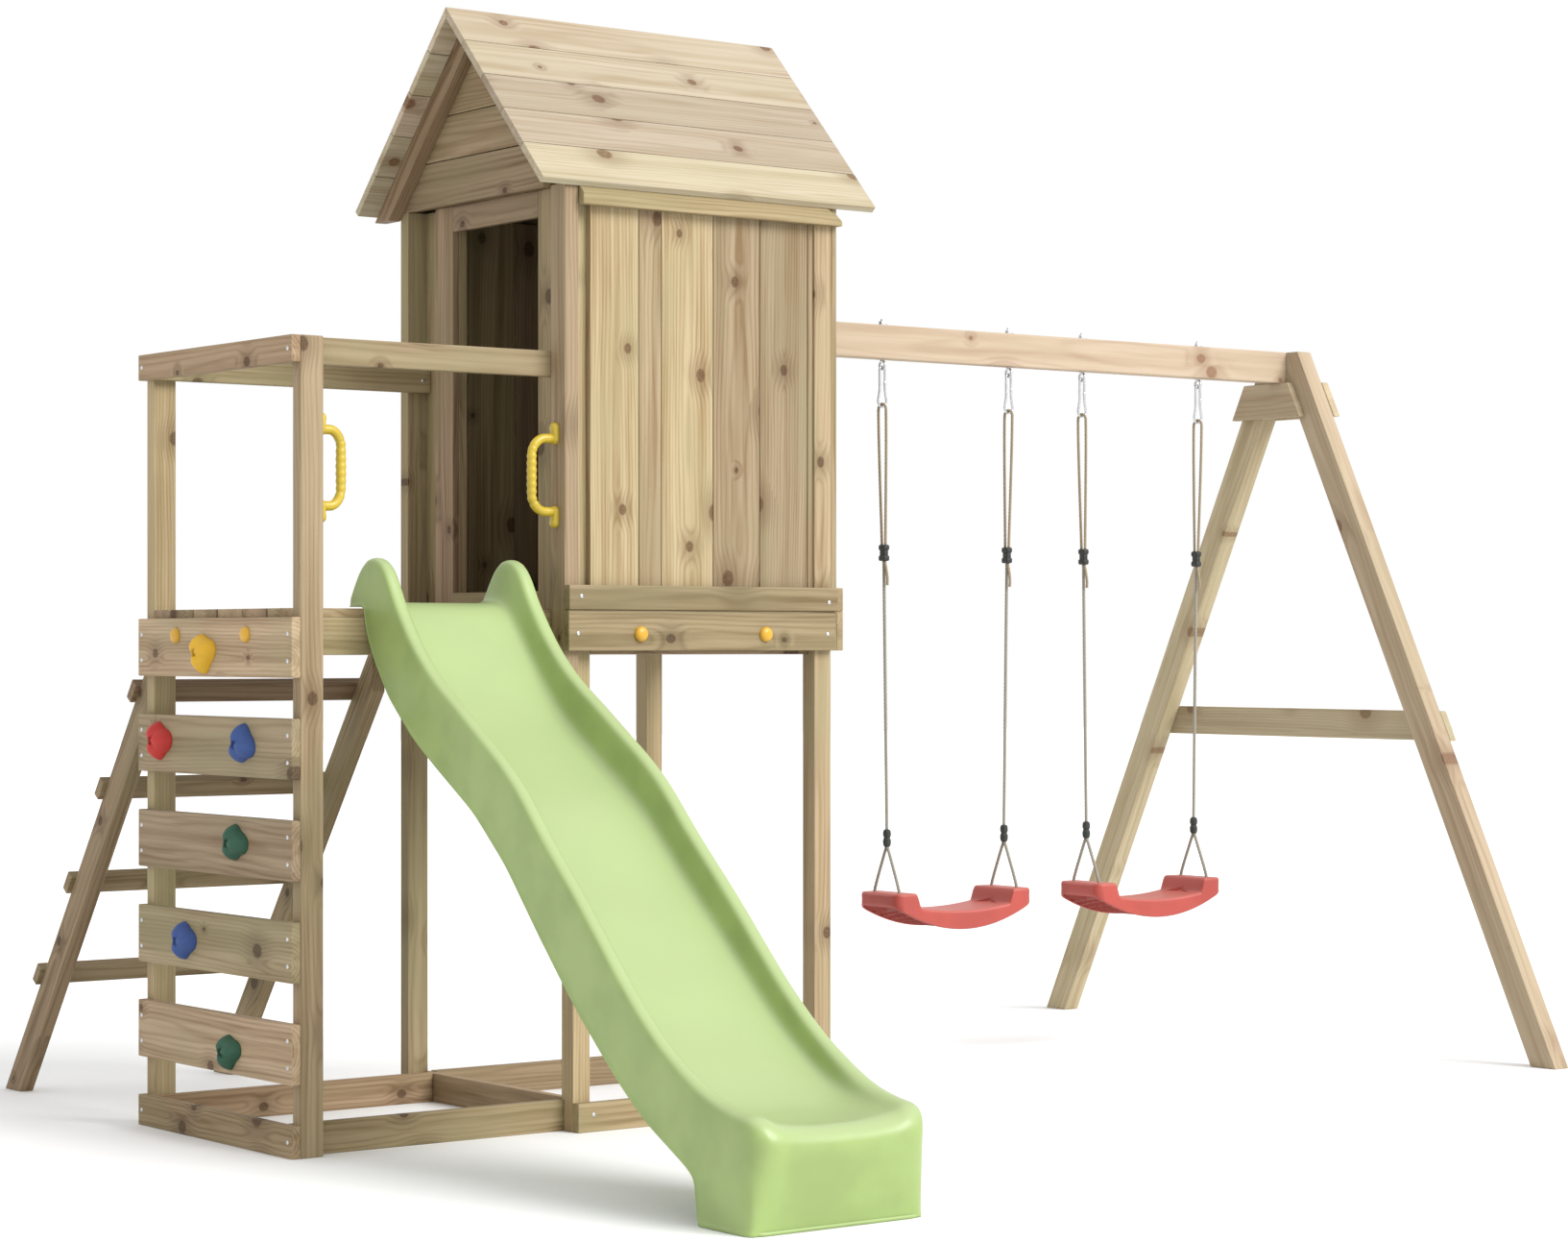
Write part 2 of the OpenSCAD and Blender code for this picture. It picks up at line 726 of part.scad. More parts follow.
module eye_bolts() in_frame() color(steel)
    for (x = hook_xs)
        translate([x, swing_y, 0]) {
            translate([0, 0, eye_z]) rotate([0, 90, 0])
                rotate_extrude() polygon([
                    for (a = [15:30:345]) [eye_ring_r + wire_r / cos(15) * cos(a), wire_r / cos(15) * sin(a)]
                ]);
            translate([0, 0, eye_z + eye_ring_r]) cylinder(r = eye_shank_r, h = swing_beam_h + 22);
            translate([0, 0, swing_beam_top]) cylinder(r = 14, h = 3);
            translate([0, 0, swing_beam_top + 3]) cylinder(r = 9.5, h = 8, $fn = 6);
        }

// ---- Screws ----

head_r = 5;
head_t = 2;

module screw_left(x, y, z) {
    translate([x - head_t, y, z]) rotate([0, 90, 0]) cylinder(r = head_r, h = head_t);
}

module screw_front(x, y, z) {
    translate([x, y, z]) rotate([90, 0, 0]) cylinder(r = head_r, h = head_t);
}

module screw_rear(x, y, z) {
    translate([x, y, z]) rotate([0, 90, 0]) cylinder(r = 9, h = 6);
}

module screws() in_frame() color(steel) {
    for (i = [0:wall_boards - 1], y = [18, deck_w - 18], z = [-30, 30])
        screw_left(-wall_board_t, y, wall_board_top(i) - wall_board_h / 2 + z);
    for (y = [18, deck_w - 18])
        screw_left(-wall_board_t, y, rail_top - rail_h / 2);
    for (y = [18, deck_w - 18])
        screw_left(-wall_board_t, y, base_h / 2);
    for (p = [[707, 1241], [1428, 1231]])
        screw_front(p[0], upper_skirt_y[0], p[1]);
    for (p = [[702, 1155], [1428, 1155]])
        screw_front(p[0], lower_skirt_y[0], p[1]);
    screw_front(758, tower_front, 40);
    screw_front(728, rail_far_y[0], rail_top - rail_h / 2);
    for (side = [-1, 1]) {
        screw_rear(aframe_x[1] + gusset_t, swing_y + side * 100, 1830);
        screw_rear(aframe_x[1] + gusset_t, swing_y + side * 548, crossbar_z + 41);
    }
}

// ---- Swings ----

// Distance of a rope from the swing's middle at height z: the ropes draw together towards the seat
function rope_half(z) =
    let (high = hook_spread / 2, low = seat_rope_spread / 2)
    low + (high - low) * (z - ferrule_z[1]) / (hook_bottom_z - ferrule_z[1]);

function rope_at(x, side, y, z) =
    let (half = z > ferrule_z[1] ? rope_half(z) : seat_rope_spread / 2)
    [x + side * half, swing_y + y, z];

// A pear-shaped snap hook in the XZ plane
module snap_hook(x) {
    neck_z = hook_top_z - hook_neck_r;
    bulb_z = hook_bottom_z + hook_bulb_r;
    route = concat(
        [for (a = [180:20:360]) [x + hook_bulb_r * cos(a), swing_y, bulb_z + hook_bulb_r * sin(a)]],
        [for (z = [1796:14:neck_z - 6]) [x + hook_neck_r, swing_y, z]],
        [for (a = [0:20:180]) [x + hook_neck_r * cos(a), swing_y, neck_z + hook_neck_r * sin(a)]],
        [for (z = [neck_z - 6:-14:1796]) [x - hook_neck_r, swing_y, z]]
    );
    tube(route, wire_r, [0, 1, 0], closed = true);
}

module swing_hooks(x)
    for (side = [-1, 1])
        snap_hook(x + side * hook_spread / 2);

// Half of the doubled rope: its distance from the middle plane, and its height
loop_strand = [
    [7.5, 1393], [8, 1415], [8.6, 1438], [9.4, 1462], [10.2, 1486], [11, 1510], [11.7, 1534], [12.4, 1558],
    [13.1, 1582], [13.8, 1606], [14.4, 1630], [15, 1654], [15.5, 1678], [15.8, 1702], [16, 1726]
];
// One leg of the V below the ferrule, through the seat's hole and down to its knot
seat_leg = [
    [4, 596], [4, 592], [9, 581], [16, 565], [23, 549], [30, 533],
    [37, 517], [44, 500], [50, 484], [52, 474], [52, 464], [52, 456]
];
// The rope's loose tail below the adjuster
tail = [[-5, 1350], [-5, 1346], [-8, 1335], [-12, 1318], [-14, 1302], [-13, 1286]];
knot_r = 9;
knot_z = 454;

module swing_ropes(x)
    for (side = [-1, 1]) {
        bend_z = loop_top_z - loop_bend_r;
        loop = concat(
            [for (p = loop_strand) rope_at(x, side, p[0], p[1])],
            [for (a = [0:18:180]) rope_at(x, side, loop_bend_r * cos(a), bend_z + loop_bend_r * sin(a))],
            [for (i = [len(loop_strand) - 1:-1:0]) rope_at(x, side, -loop_strand[i][0], loop_strand[i][1])]
        );
        tube(loop, loop_rope_d / 2, [1, 0, 0]);
        tube(steps(rope_at(x, side, 0, adjuster_z[0]), rope_at(x, side, 0, ferrule_z[1] + 0.01), 28),
            rope_d / 2, [0, 1, 0]);
        tube([for (p = tail) rope_at(x, side, p[0], p[1])], loop_rope_d / 2, [1, 0, 0]);
        for (leg = [-1, 1]) {
            tube([for (p = seat_leg) rope_at(x, side, leg * p[0], p[1])], rope_d / 2, [1, 0, 0]);
            translate(rope_at(x, side, leg * seat_hole_y, knot_z)) sphere(r = knot_r, $fn = 24);
        }
    }

module swing_rope_fittings(x)
    for (side = [-1, 1]) {
        at = rope_at(x, side, 0, adjuster_z[0]);
        translate(at - [10, 13, 0]) cube([20, 26, adjuster_z[1] - adjuster_z[0]]);
        translate(rope_at(x, side, 0, ferrule_z[0])) rotate_extrude()
            polygon([[0, 0], [8, 0], [11.5, 10], [11.5, 30], [8, 45], [0, 45]]);
    }

// Seat profile: a raised block at each end, a step down, and a dished tread between them
function seat_top(u) =
    let (a = abs(u))
    a >= 170 ? seat_top_z :
    a <= 150 ? 424 + 12 * pow(a / 150, 2) :
    436 + 39 * (0.5 - 0.5 * cos(9 * (a - 150)));
function seat_under(u) = 374 + 63 * pow(2 * u / seat_l, 2);
seat_half_us = [0, 25, 50, 75, 100, 125, 148, 154, 158, 162, 166, 171];

module swing_seat(x) {
    shell = 8;
    half_us = concat(seat_half_us, [200, seat_l / 2]);
    us = concat([for (i = [len(half_us) - 1:-1:1]) -half_us[i]], half_us);
    difference() {
        intersection() {
            along_y([swing_y - seat_w / 2, swing_y + seat_w / 2]) polygon(concat(
                [for (u = us) [x + u, seat_under(u)]],
                [for (i = [len(us) - 1:-1:0]) [x + us[i], seat_top(us[i])]]
            ));
            translate([x, swing_y, 360]) linear_extrude(140) rounded_plan(seat_l, seat_w, 28);
        }
        intersection() {
            along_y([swing_y - seat_w / 2, swing_y + seat_w / 2]) polygon(concat(
                [for (u = us) [x + u, 360]],
                [for (i = [len(us) - 1:-1:0]) [x + us[i], seat_top(us[i]) - shell]]
            ));
            translate([x, swing_y, 350]) linear_extrude(140)
                rounded_plan(seat_l - 2 * shell, seat_w - 2 * shell, 28 - shell);
        }
        for (side = [-1, 1], leg = [-1, 1])
            translate(rope_at(x, side, leg * seat_hole_y, 360)) cylinder(r = rope_d / 2 + 2, h = 140);
    }
}

// A rectangle with round corners, of exact arcs
module rounded_plan(l, w, r) {
    square([l - 2 * r, w], center = true);
    square([l, w - 2 * r], center = true);
    for (sx = [-1, 1], sy = [-1, 1])
        translate([sx * (l / 2 - r), sy * (w / 2 - r)]) circle(r = r);
}

module swing_a_hooks() in_frame() color(steel) swing_hooks(swing_x[0]);
module swing_a_ropes() in_frame() color(rope_tan) swing_ropes(swing_x[0]);
module swing_a_rope_fittings() in_frame() color(fitting_black) swing_rope_fittings(swing_x[0]);
module swing_a_seat() in_frame() color(seat_red) swing_seat(swing_x[0]);
module swing_b_hooks() in_frame() color(steel) swing_hooks(swing_x[1]);
module swing_b_ropes() in_frame() color(rope_tan) swing_ropes(swing_x[1]);
module swing_b_rope_fittings() in_frame() color(fitting_black) swing_rope_fittings(swing_x[1]);
module swing_b_seat() in_frame() color(seat_red) swing_seat(swing_x[1]);

wall_post_near();
wall_post_far();
inner_post_near();
inner_post_far();
tower_post_front_left();
tower_post_front_right();
tower_post_back_right();
swing_beam_stud();
climbing_board_1();
climbing_board_2();
climbing_board_3();
climbing_board_4();
climbing_board_5();
wall_base_plank();
wall_top_beam();
guard_rails();
base_beams();
tower_base_boards();
deck_frame();
deck_boards();
tower_floor_boards();
ladder_rail_left();
ladder_rail_right();
ladder_rungs();
slide();
upper_skirt_boards();
lower_skirt_boards();
front_wall_planks();
back_wall_planks();
side_wall_planks();
door_wall_planks();
door_frame();
gable_boards();
rafters();
eave_purlins();
roof_planks_front();
roof_planks_back();
swing_beam();
aframe_leg_near();
aframe_leg_far();
aframe_gusset_front();
aframe_gusset_rear();
aframe_crossbar();
handle_left();
handle_right();
hold_red();
hold_yellow();
holds_blue();
holds_green();
bolt_caps();
screws();
eye_bolts();
swing_a_hooks();
swing_a_ropes();
swing_a_rope_fittings();
swing_a_seat();
swing_b_hooks();
swing_b_ropes();
swing_b_rope_fittings();
swing_b_seat();
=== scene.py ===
import math
import random

import bmesh
import bpy
from mathutils import Matrix, Vector


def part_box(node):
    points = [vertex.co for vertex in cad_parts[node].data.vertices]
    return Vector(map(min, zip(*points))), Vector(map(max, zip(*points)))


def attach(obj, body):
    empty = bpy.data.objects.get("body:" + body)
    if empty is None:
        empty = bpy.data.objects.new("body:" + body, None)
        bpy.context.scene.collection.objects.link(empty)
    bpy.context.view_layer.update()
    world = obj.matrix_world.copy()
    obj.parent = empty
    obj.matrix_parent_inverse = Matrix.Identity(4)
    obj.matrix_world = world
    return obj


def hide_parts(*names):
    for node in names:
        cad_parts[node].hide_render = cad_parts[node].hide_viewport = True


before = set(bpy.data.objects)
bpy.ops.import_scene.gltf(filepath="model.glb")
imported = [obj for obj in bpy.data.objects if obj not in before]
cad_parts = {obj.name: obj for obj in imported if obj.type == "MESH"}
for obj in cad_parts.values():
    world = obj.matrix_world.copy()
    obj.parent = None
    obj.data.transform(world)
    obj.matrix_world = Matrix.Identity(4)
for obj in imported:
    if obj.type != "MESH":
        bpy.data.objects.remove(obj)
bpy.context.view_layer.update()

MM = 0.001
corner = Vector(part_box("wall_post_near")[0])
FRAME = "frame"
SWINGS = {"swing_a": 2.229, "swing_b": 2.933}
swing_y = 0.474


def at(x, y, z):
    """A point given from the climbing wall's near corner post, in metres, as a point of the row frame."""
    return Vector((corner.x + x, corner.y + y, z))


# ---- Camera ----

HEADING = math.radians(37.0)
camera = bpy.data.objects.new("camera", bpy.data.cameras.new("camera"))
camera.location = at(-3.881, -6.913, 1.128)
camera.rotation_euler = (math.radians(90), 0, -HEADING)
camera.data.sensor_width = 36
camera.data.sensor_fit = "HORIZONTAL"
camera.data.lens = 82.17
camera.data.shift_y = 0.0154
camera.data.clip_end = 60
bpy.context.scene.collection.objects.link(camera)
bpy.context.scene.camera = camera


# ---- Material helpers ----

class Graph:
    """A material's node tree, with short calls that add a node and join it to its inputs."""

    def __init__(self, name):
        self.material = bpy.data.materials.new(name)
        self.material.use_nodes = True
        self.tree = self.material.node_tree
        self.shader = self.tree.nodes["Principled BSDF"]

    def plug(self, value, socket):
        if isinstance(value, bpy.types.NodeSocket):
            self.tree.links.new(value, socket)
        elif value is not None:
            socket.default_value = value

    def add(self, kind, inputs=(), **settings):
        node = self.tree.nodes.new(kind)
        for name, value in settings.items():
            setattr(node, name, value)
        pairs = inputs.items() if isinstance(inputs, dict) else enumerate(inputs)
        for key, value in pairs:
            self.plug(value, node.inputs[key])
        return node

    def math(self, operation, a, b=None, c=None, clamp=False):
        return self.add("ShaderNodeMath", [a, b, c], operation=operation, use_clamp=clamp).outputs[0]

    def vector(self, operation, a, b=None):
        node = self.add("ShaderNodeVectorMath", [a, b], operation=operation)
        return node.outputs["Value"] if operation in ("LENGTH", "DISTANCE") else node.outputs[0]

    def noise(self, vector, scale, detail=2.0, rough=0.5):
        inputs = {"Vector": vector, "Scale": scale, "Detail": detail, "Roughness": rough}
        return self.add("ShaderNodeTexNoise", inputs).outputs["Fac"]

    def ramp(self, value, low, high, smooth=True):
        kind = "SMOOTHSTEP" if smooth else "LINEAR"
        node = self.add("ShaderNodeMapRange", {"Value": value, "From Min": low, "From Max": high}, interpolation_type=kind)
        return node.outputs["Result"]

    def mix(self, factor, a, b, blend="MIX"):
        node = self.add("ShaderNodeMix", data_type="RGBA", blend_type=blend)
        self.plug(factor, node.inputs[0])
        self.plug(a, node.inputs[6])
        self.plug(b, node.inputs[7])
        return node.outputs[2]

    def bump(self, height, strength, distance, normal=None):
        inputs = {"Height": height, "Strength": strength, "Distance": distance}
        node = self.add("ShaderNodeBump", inputs)
        self.plug(normal, node.inputs["Normal"])
        return node.outputs["Normal"]

    def finish(self, colour=None, roughness=None, normal=None, **constants):
        self.plug(colour, self.shader.inputs["Base Color"])
        self.plug(roughness, self.shader.inputs["Roughness"])
        self.plug(normal, self.shader.inputs["Normal"])
        for name, value in constants.items():
            self.shader.inputs[name.replace("_", " ")].default_value = value
        return self.material


def rgb(r, g, b):
    return (r, g, b, 1.0)


RING_PITCH = 0.0085
KNOT_CELLS = (2.6, 10.0)


def wood(name, early, late, knot, green, fleck=1.0):
    """Softwood in each board's own axes: growth rings round a pith, fibres, knots and a green stain."""
    g = Graph(name)
    grain = g.add("ShaderNodeAttribute", attribute_name="grain").outputs["Vector"]
    board = g.add("ShaderNodeAttribute", attribute_name="board").outputs["Fac"]
    # Knots: one cell in two has one, round in the board's wide face
    spread = g.vector("MULTIPLY", grain, (KNOT_CELLS[0], KNOT_CELLS[1], 1.0))
    cells = g.add("ShaderNodeTexVoronoi", {"Vector": spread, "Scale": 1.0, "Randomness": 0.85}, voronoi_dimensions="2D")
    centre = g.vector("DIVIDE", cells.outputs["Position"], (KNOT_CELLS[0], KNOT_CELLS[1], 1.0))
    flat = g.vector("MULTIPLY", grain, (0.8, 1.0, 0.0))
    flat_centre = g.vector("MULTIPLY", centre, (0.8, 1.0, 0.0))
    away = g.vector("DISTANCE", flat, flat_centre)
    chance = g.add("ShaderNodeSeparateColor", [cells.outputs["Color"]]).outputs[0]
    radius = g.math("MULTIPLY", g.math("MAXIMUM", g.math("SUBTRACT", chance, 0.42), 0.0), 0.030)
    has_knot = g.ramp(chance, 0.42, 0.50)
    knot_edge = g.math("DIVIDE", away, g.math("ADD", radius, 0.002))
    knot_mask = g.math("MULTIPLY", g.ramp(knot_edge, 1.15, 0.75), has_knot)
    swirl = g.math("MULTIPLY", g.ramp(knot_edge, 4.5, 0.4), has_knot)
    # Growth rings, pushed aside by slow waves and by the knots
    wave_at = g.vector("MULTIPLY", grain, (1.6, 9.0, 9.0))
    waves = g.add("ShaderNodeTexNoise", {"Vector": wave_at, "Scale": 1.0, "Detail": 2.0})
    push = g.vector("MULTIPLY", g.vector("SUBTRACT", waves.outputs["Color"], (0.5, 0.5, 0.5)), (0.0, 0.030, 0.030))
    across = g.vector("MULTIPLY", g.vector("ADD", grain, push), (0.0, 1.0, 1.0))
    ring_r = g.math("ADD", g.vector("LENGTH", across), g.math("MULTIPLY", swirl, 0.011))
    turns = g.math("MULTIPLY", ring_r, 2 * math.pi / RING_PITCH)
    ring = g.math("MULTIPLY_ADD", g.math("SINE", turns), 0.5, 0.5)
    latewood = g.math("POWER", ring, 2.2)
    # Fibres and slow changes of tone
    fibre = g.noise(g.vector("MULTIPLY", grain, (9.0, 420.0, 420.0)), 1.0, 3.0, 0.6)
    streak = g.noise(g.vector("MULTIPLY", grain, (1.1, 38.0, 38.0)), 1.0, 3.0, 0.55)
    blotch = g.noise(g.vector("MULTIPLY", grain, (2.2, 7.0, 7.0)), 1.0, 2.0)
    tone = g.math("ADD", g.math("MULTIPLY", latewood, 0.40), g.math("MULTIPLY", g.ramp(streak, 0.35, 0.68), 0.60))
    tone = g.math("ADD", tone, g.math("MULTIPLY", g.ramp(fibre, 0.3, 0.75), 0.22 * fleck), clamp=True)
    colour = g.mix(tone, early, late)
    stain = g.math("MULTIPLY", g.ramp(blotch, 0.40, 0.72), 0.55)
    colour = g.mix(stain, colour, green)
    colour = g.mix(g.math("MULTIPLY", swirl, 0.35), colour, knot)
    core = g.math("MULTIPLY", g.ramp(g.noise(grain, 260.0, 2.0), 0.3, 0.7), 0.35)
    colour = g.mix(g.math("MULTIPLY", knot_mask, g.math("ADD", core, 0.6)), colour, knot)
    # Each board is a little lighter or darker, and warmer or greener, than its neighbours
    value = g.math("MULTIPLY_ADD", board, 0.40, 0.80)
    hue = g.math("MULTIPLY_ADD", g.math("FRACT", g.math("MULTIPLY", board, 7.31)), 0.022, 0.489)
    tint = g.add("ShaderNodeHueSaturation", {"Hue": hue, "Value": value, "Color": colour}).outputs[0]
    height = g.math("ADD", g.math("MULTIPLY", latewood, 0.5), g.math("MULTIPLY", fibre, 0.8))
    rough = g.math("MULTIPLY_ADD", fibre, 0.2, 0.58)
    return g.finish(tint, rough, g.bump(height, 0.35, 0.0006), Specular_IOR_Level=0.3)


TOWER = wood("tower_wood", rgb(0.40, 0.31, 0.185), rgb(0.24, 0.17, 0.085), rgb(0.075, 0.038, 0.014), rgb(0.30, 0.265, 0.14))
DARK = wood("frame_wood", rgb(0.33, 0.245, 0.145), rgb(0.17, 0.112, 0.052), rgb(0.06, 0.030, 0.012), rgb(0.225, 0.19, 0.098))
PLANK = wood("plank_wood", rgb(0.38, 0.295, 0.185), rgb(0.215, 0.135, 0.062), rgb(0.085, 0.036, 0.012), rgb(0.28, 0.235, 0.13))
ROOF = wood("roof_wood", rgb(0.45, 0.385, 0.285), rgb(0.32, 0.25, 0.155), rgb(0.13, 0.062, 0.025), rgb(0.40, 0.345, 0.235))
CLIMB = wood("climbing_wood", rgb(0.41, 0.32, 0.20), rgb(0.225, 0.155, 0.080), rgb(0.07, 0.036, 0.015), rgb(0.28, 0.245, 0.135))
PALE = wood("beam_wood", rgb(0.47, 0.38, 0.27), rgb(0.35, 0.255, 0.165), rgb(0.20, 0.11, 0.055), rgb(0.42, 0.34, 0.235), 0.6)
LEG = wood("aframe_wood", rgb(0.46, 0.375, 0.25), rgb(0.32, 0.24, 0.14), rgb(0.18, 0.10, 0.05), rgb(0.39, 0.33, 0.205), 0.6)


def plastic(name, colour, rough, grain=0.0, painted_sheen=None, coat=0.0, mottling=0.06):
    """Moulded plastic: slight mottling of tone, a fine grain, and, where it is given, a painted sheen that makes faces
    lighter where they look up.
    """
    g = Graph(name)
    place = g.add("ShaderNodeTexCoord").outputs["Object"]
    cloud = g.noise(place, 7.0, 3.0)
    fine = g.noise(place, 900.0, 2.0)
    darker = rgb(*[c * (1 - mottling * 2.5) for c in colour[:3]])
    tone = g.mix(g.ramp(cloud, 0.35, 0.7), colour, darker)
    # Painted sheen: faces that look up are mixed towards a lighter colour, standing in for the white sky's reflection
    # on the gloss.
    if painted_sheen:
        up = g.add("ShaderNodeSeparateXYZ", [g.add("ShaderNodeNewGeometry").outputs["Normal"]]).outputs["Z"]
        tone = g.mix(g.math("MULTIPLY", g.ramp(up, 0.15, 0.85), 0.85), tone, painted_sheen)
    roughness = g.math("MULTIPLY_ADD", cloud, 0.12, rough)
    normal = g.bump(g.math("ADD", fine, g.math("MULTIPLY", cloud, 0.4)), 0.15 + grain, 0.0003 + 0.0008 * grain)
    return g.finish(tone, roughness, normal, Coat_Weight=coat, Coat_Roughness=0.12)


# The slide's and the seat's lighter colours on upward faces are painted sheen, in place of the sky's reflection.
GREEN = plastic("slide_plastic", rgb(0.285, 0.385, 0.125), 0.36, painted_sheen=rgb(0.335, 0.42, 0.195), coat=0.12)
RED = plastic("seat_plastic", rgb(0.40, 0.058, 0.042), 0.42, painted_sheen=rgb(0.43, 0.105, 0.082))
YELLOW = plastic("handle_plastic", rgb(0.50, 0.36, 0.022), 0.34, coat=0.15)
AMBER = plastic("cap_plastic", rgb(0.60, 0.33, 0.018), 0.34, coat=0.15)
HOLD_RED = plastic("hold_red_plastic", rgb(0.50, 0.020, 0.014), 0.5, grain=0.8)
HOLD_YELLOW = plastic("hold_yellow_plastic", rgb(0.66, 0.38, 0.008), 0.45, grain=0.8)
HOLD_BLUE = plastic("hold_blue_plastic", rgb(0.028, 0.075, 0.26), 0.5, grain=0.8)
HOLD_GREEN = plastic("hold_green_plastic", rgb(0.014, 0.085, 0.045), 0.45, grain=0.8)
BLACK = plastic("fitting_plastic", rgb(0.018, 0.019, 0.016), 0.5, grain=0.5)
GREY = plastic("ferrule_plastic", rgb(0.030, 0.034, 0.029), 0.60, grain=0.8)


def metal():
    g = Graph("zinc_steel")
    place = g.add("ShaderNodeTexCoord").outputs["Object"]
    spangle = g.add("ShaderNodeTexVoronoi", {"Vector": place, "Scale": 260.0}).outputs["Color"]
    shade = g.add("ShaderNodeSeparateColor", [spangle]).outputs[0]
    colour = g.mix(shade, rgb(0.55, 0.56, 0.58), rgb(0.68, 0.69, 0.71))
    rough = g.math("MULTIPLY_ADD", g.noise(place, 120.0, 2.0), 0.25, 0.18)
    return g.finish(colour, rough, g.bump(g.noise(place, 700.0), 0.2, 0.0002), Metallic=1.0)


def rope_material(name, light, dark):
    g = Graph(name)
    place = g.add("ShaderNodeTexCoord").outputs["Object"]
    fibre = g.noise(g.vector("MULTIPLY", place, (1.0, 1.0, 0.3)), 1400.0, 3.0, 0.7)
    soil = g.noise(place, 30.0, 2.0)
    colour = g.mix(g.ramp(fibre, 0.3, 0.7), dark, light)
    colour = g.mix(g.math("MULTIPLY", g.ramp(soil, 0.45, 0.8), 0.3), colour, dark)
    return g.finish(colour, 0.85, g.bump(fibre, 0.6, 0.0006), Sheen_Weight=0.2)


STEEL = metal()
ROPE_TAN = rope_material("rope_tan", rgb(0.36, 0.29, 0.19), rgb(0.20, 0.155, 0.095))
ROPE_GREY = rope_material("rope_grey", rgb(0.34, 0.31, 0.26), rgb(0.20, 0.185, 0.15))


# ---- Mesh helpers ----

def make(name, points, faces, material, body, node, smooth=True, sharp=None):
    """A finished piece: its mesh, material, body and the CAD node it stands for."""
    mesh = bpy.data.meshes.new(name)
    mesh.from_pydata([tuple(p) for p in points], [], faces)
    if node != "slide":
        bm = bmesh.new()
        bm.from_mesh(mesh)
        bmesh.ops.recalc_face_normals(bm, faces=bm.faces)
        bm.to_mesh(mesh)
        bm.free()
    return place_mesh(name, mesh, material, body, node, smooth, sharp)


def place_mesh(name, mesh, material, body, node, smooth=True, sharp=None):
    mesh.validate()
    mesh.materials.append(material)
    mesh.polygons.foreach_set("use_smooth", [smooth] * len(mesh.polygons))
    if sharp is not None:
        mesh.set_sharp_from_angle(angle=math.radians(sharp))
    mesh.update()
    piece = bpy.data.objects.new(name, mesh)
    bpy.context.scene.collection.objects.link(piece)
    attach(piece, body)
    if node:
        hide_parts(node)
    return piece


class Shape:
    """Points and faces that several parts of one piece are gathered in."""

    def __init__(self):
        self.points, self.faces = [], []

    def add(self, points, faces):
        base = len(self.points)
        self.points += [Vector(p) for p in points]
        self.faces += [tuple(base + i for i in face) for face in faces]

    def rings(self, rings, closed=False, caps=True):
        """Joins rings of points of one length into a tube."""
        count, sides = len(rings), len(rings[0])
        faces = []
        for i in range(count if closed else count - 1):
            j = (i + 1) % count
            for k in range(sides):
                m = (k + 1) % sides
                faces.append((i * sides + k, i * sides + m, j * sides + m, j * sides + k))
        if caps and not closed:
            faces.append(tuple(range(sides - 1, -1, -1)))
            faces.append(tuple((count - 1) * sides + k for k in range(sides)))
        self.add([p for ring in rings for p in ring], faces)

    def lathe(self, profile, place, axis, sides=32):
        """Turns a profile of (radius, height) pairs about an axis through a place."""
        axis = Vector(axis).normalized()
        side = axis.orthogonal().normalized()
        other = axis.cross(side)
        rings = []
        for radius, height in profile:
            centre = Vector(place) + axis * height
            ring = []
            for k in range(sides):
                a = 2 * math.pi * k / sides
                ring.append(centre + radius * (math.cos(a) * side + math.sin(a) * other))
            rings.append(ring)
        self.rings(rings)


def smooth_line(points, per):
    """A Catmull-Rom curve through the points, with that many steps between two of them."""
    points = [Vector(p) for p in points]
    out = []
    for i in range(len(points) - 1):
        p0 = points[max(i - 1, 0)]
        p1, p2 = points[i], points[i + 1]
        p3 = points[min(i + 2, len(points) - 1)]
        for k in range(per):
            t = k / per
            out.append(0.5 * (2 * p1 + (p2 - p0) * t + (2 * p0 - 5 * p1 + 4 * p2 - p3) * t ** 2
                              + (3 * p1 - p0 - 3 * p2 + p3) * t ** 3))
    return out + [points[-1]]


def respace(points, step):
    """The same line with its points at even distances."""
    lengths = [0.0]
    for a, b in zip(points, points[1:]):
        lengths.append(lengths[-1] + (b - a).length)
    count = max(2, round(lengths[-1] / step))
    out, i = [], 0
    for k in range(count + 1):
        goal = lengths[-1] * k / count
        while i < len(points) - 2 and lengths[i + 1] < goal:
            i += 1
        part = (goal - lengths[i]) / max(lengths[i + 1] - lengths[i], 1e-9)
        out.append(points[i].lerp(points[i + 1], min(max(part, 0.0), 1.0)))
    return out


def line_length(points):
    return sum((b - a).length for a, b in zip(points, points[1:]))


def sweep(points, normal, radius_at, sides, closed=False):
    """Rings round a flat line; radius_at(distance, angle) gives the surface's distance from it."""
    normal = Vector(normal).normalized()
    count = len(points)
    rings, gone = [], 0.0
    for i, point in enumerate(points):
        before = points[(i - 1) % count] if closed else points[max(i - 1, 0)]
        after = points[(i + 1) % count] if closed else points[min(i + 1, count - 1)]
        along = (after - before).normalized()
        side = (normal - along * normal.dot(along)).normalized()
        other = along.cross(side)
        ring = []
        for k in range(sides):
            a = 2 * math.pi * k / sides
            ring.append(point + radius_at(gone, a) * (math.cos(a) * side + math.sin(a) * other))
        rings.append(ring)
        gone += (after - point).length if i < count - 1 else 0.0
    return rings


# ---- Timber ----

def loose_parts(bm):
    left, parts = set(bm.verts), []
    while left:
        stack, part = [left.pop()], []
        while stack:
            vert = stack.pop()
            part.append(vert)
            for edge in vert.link_edges:
                other = edge.other_vert(vert)
                if other in left:
                    left.remove(other)
                    stack.append(other)
        parts.append(part)
    return parts


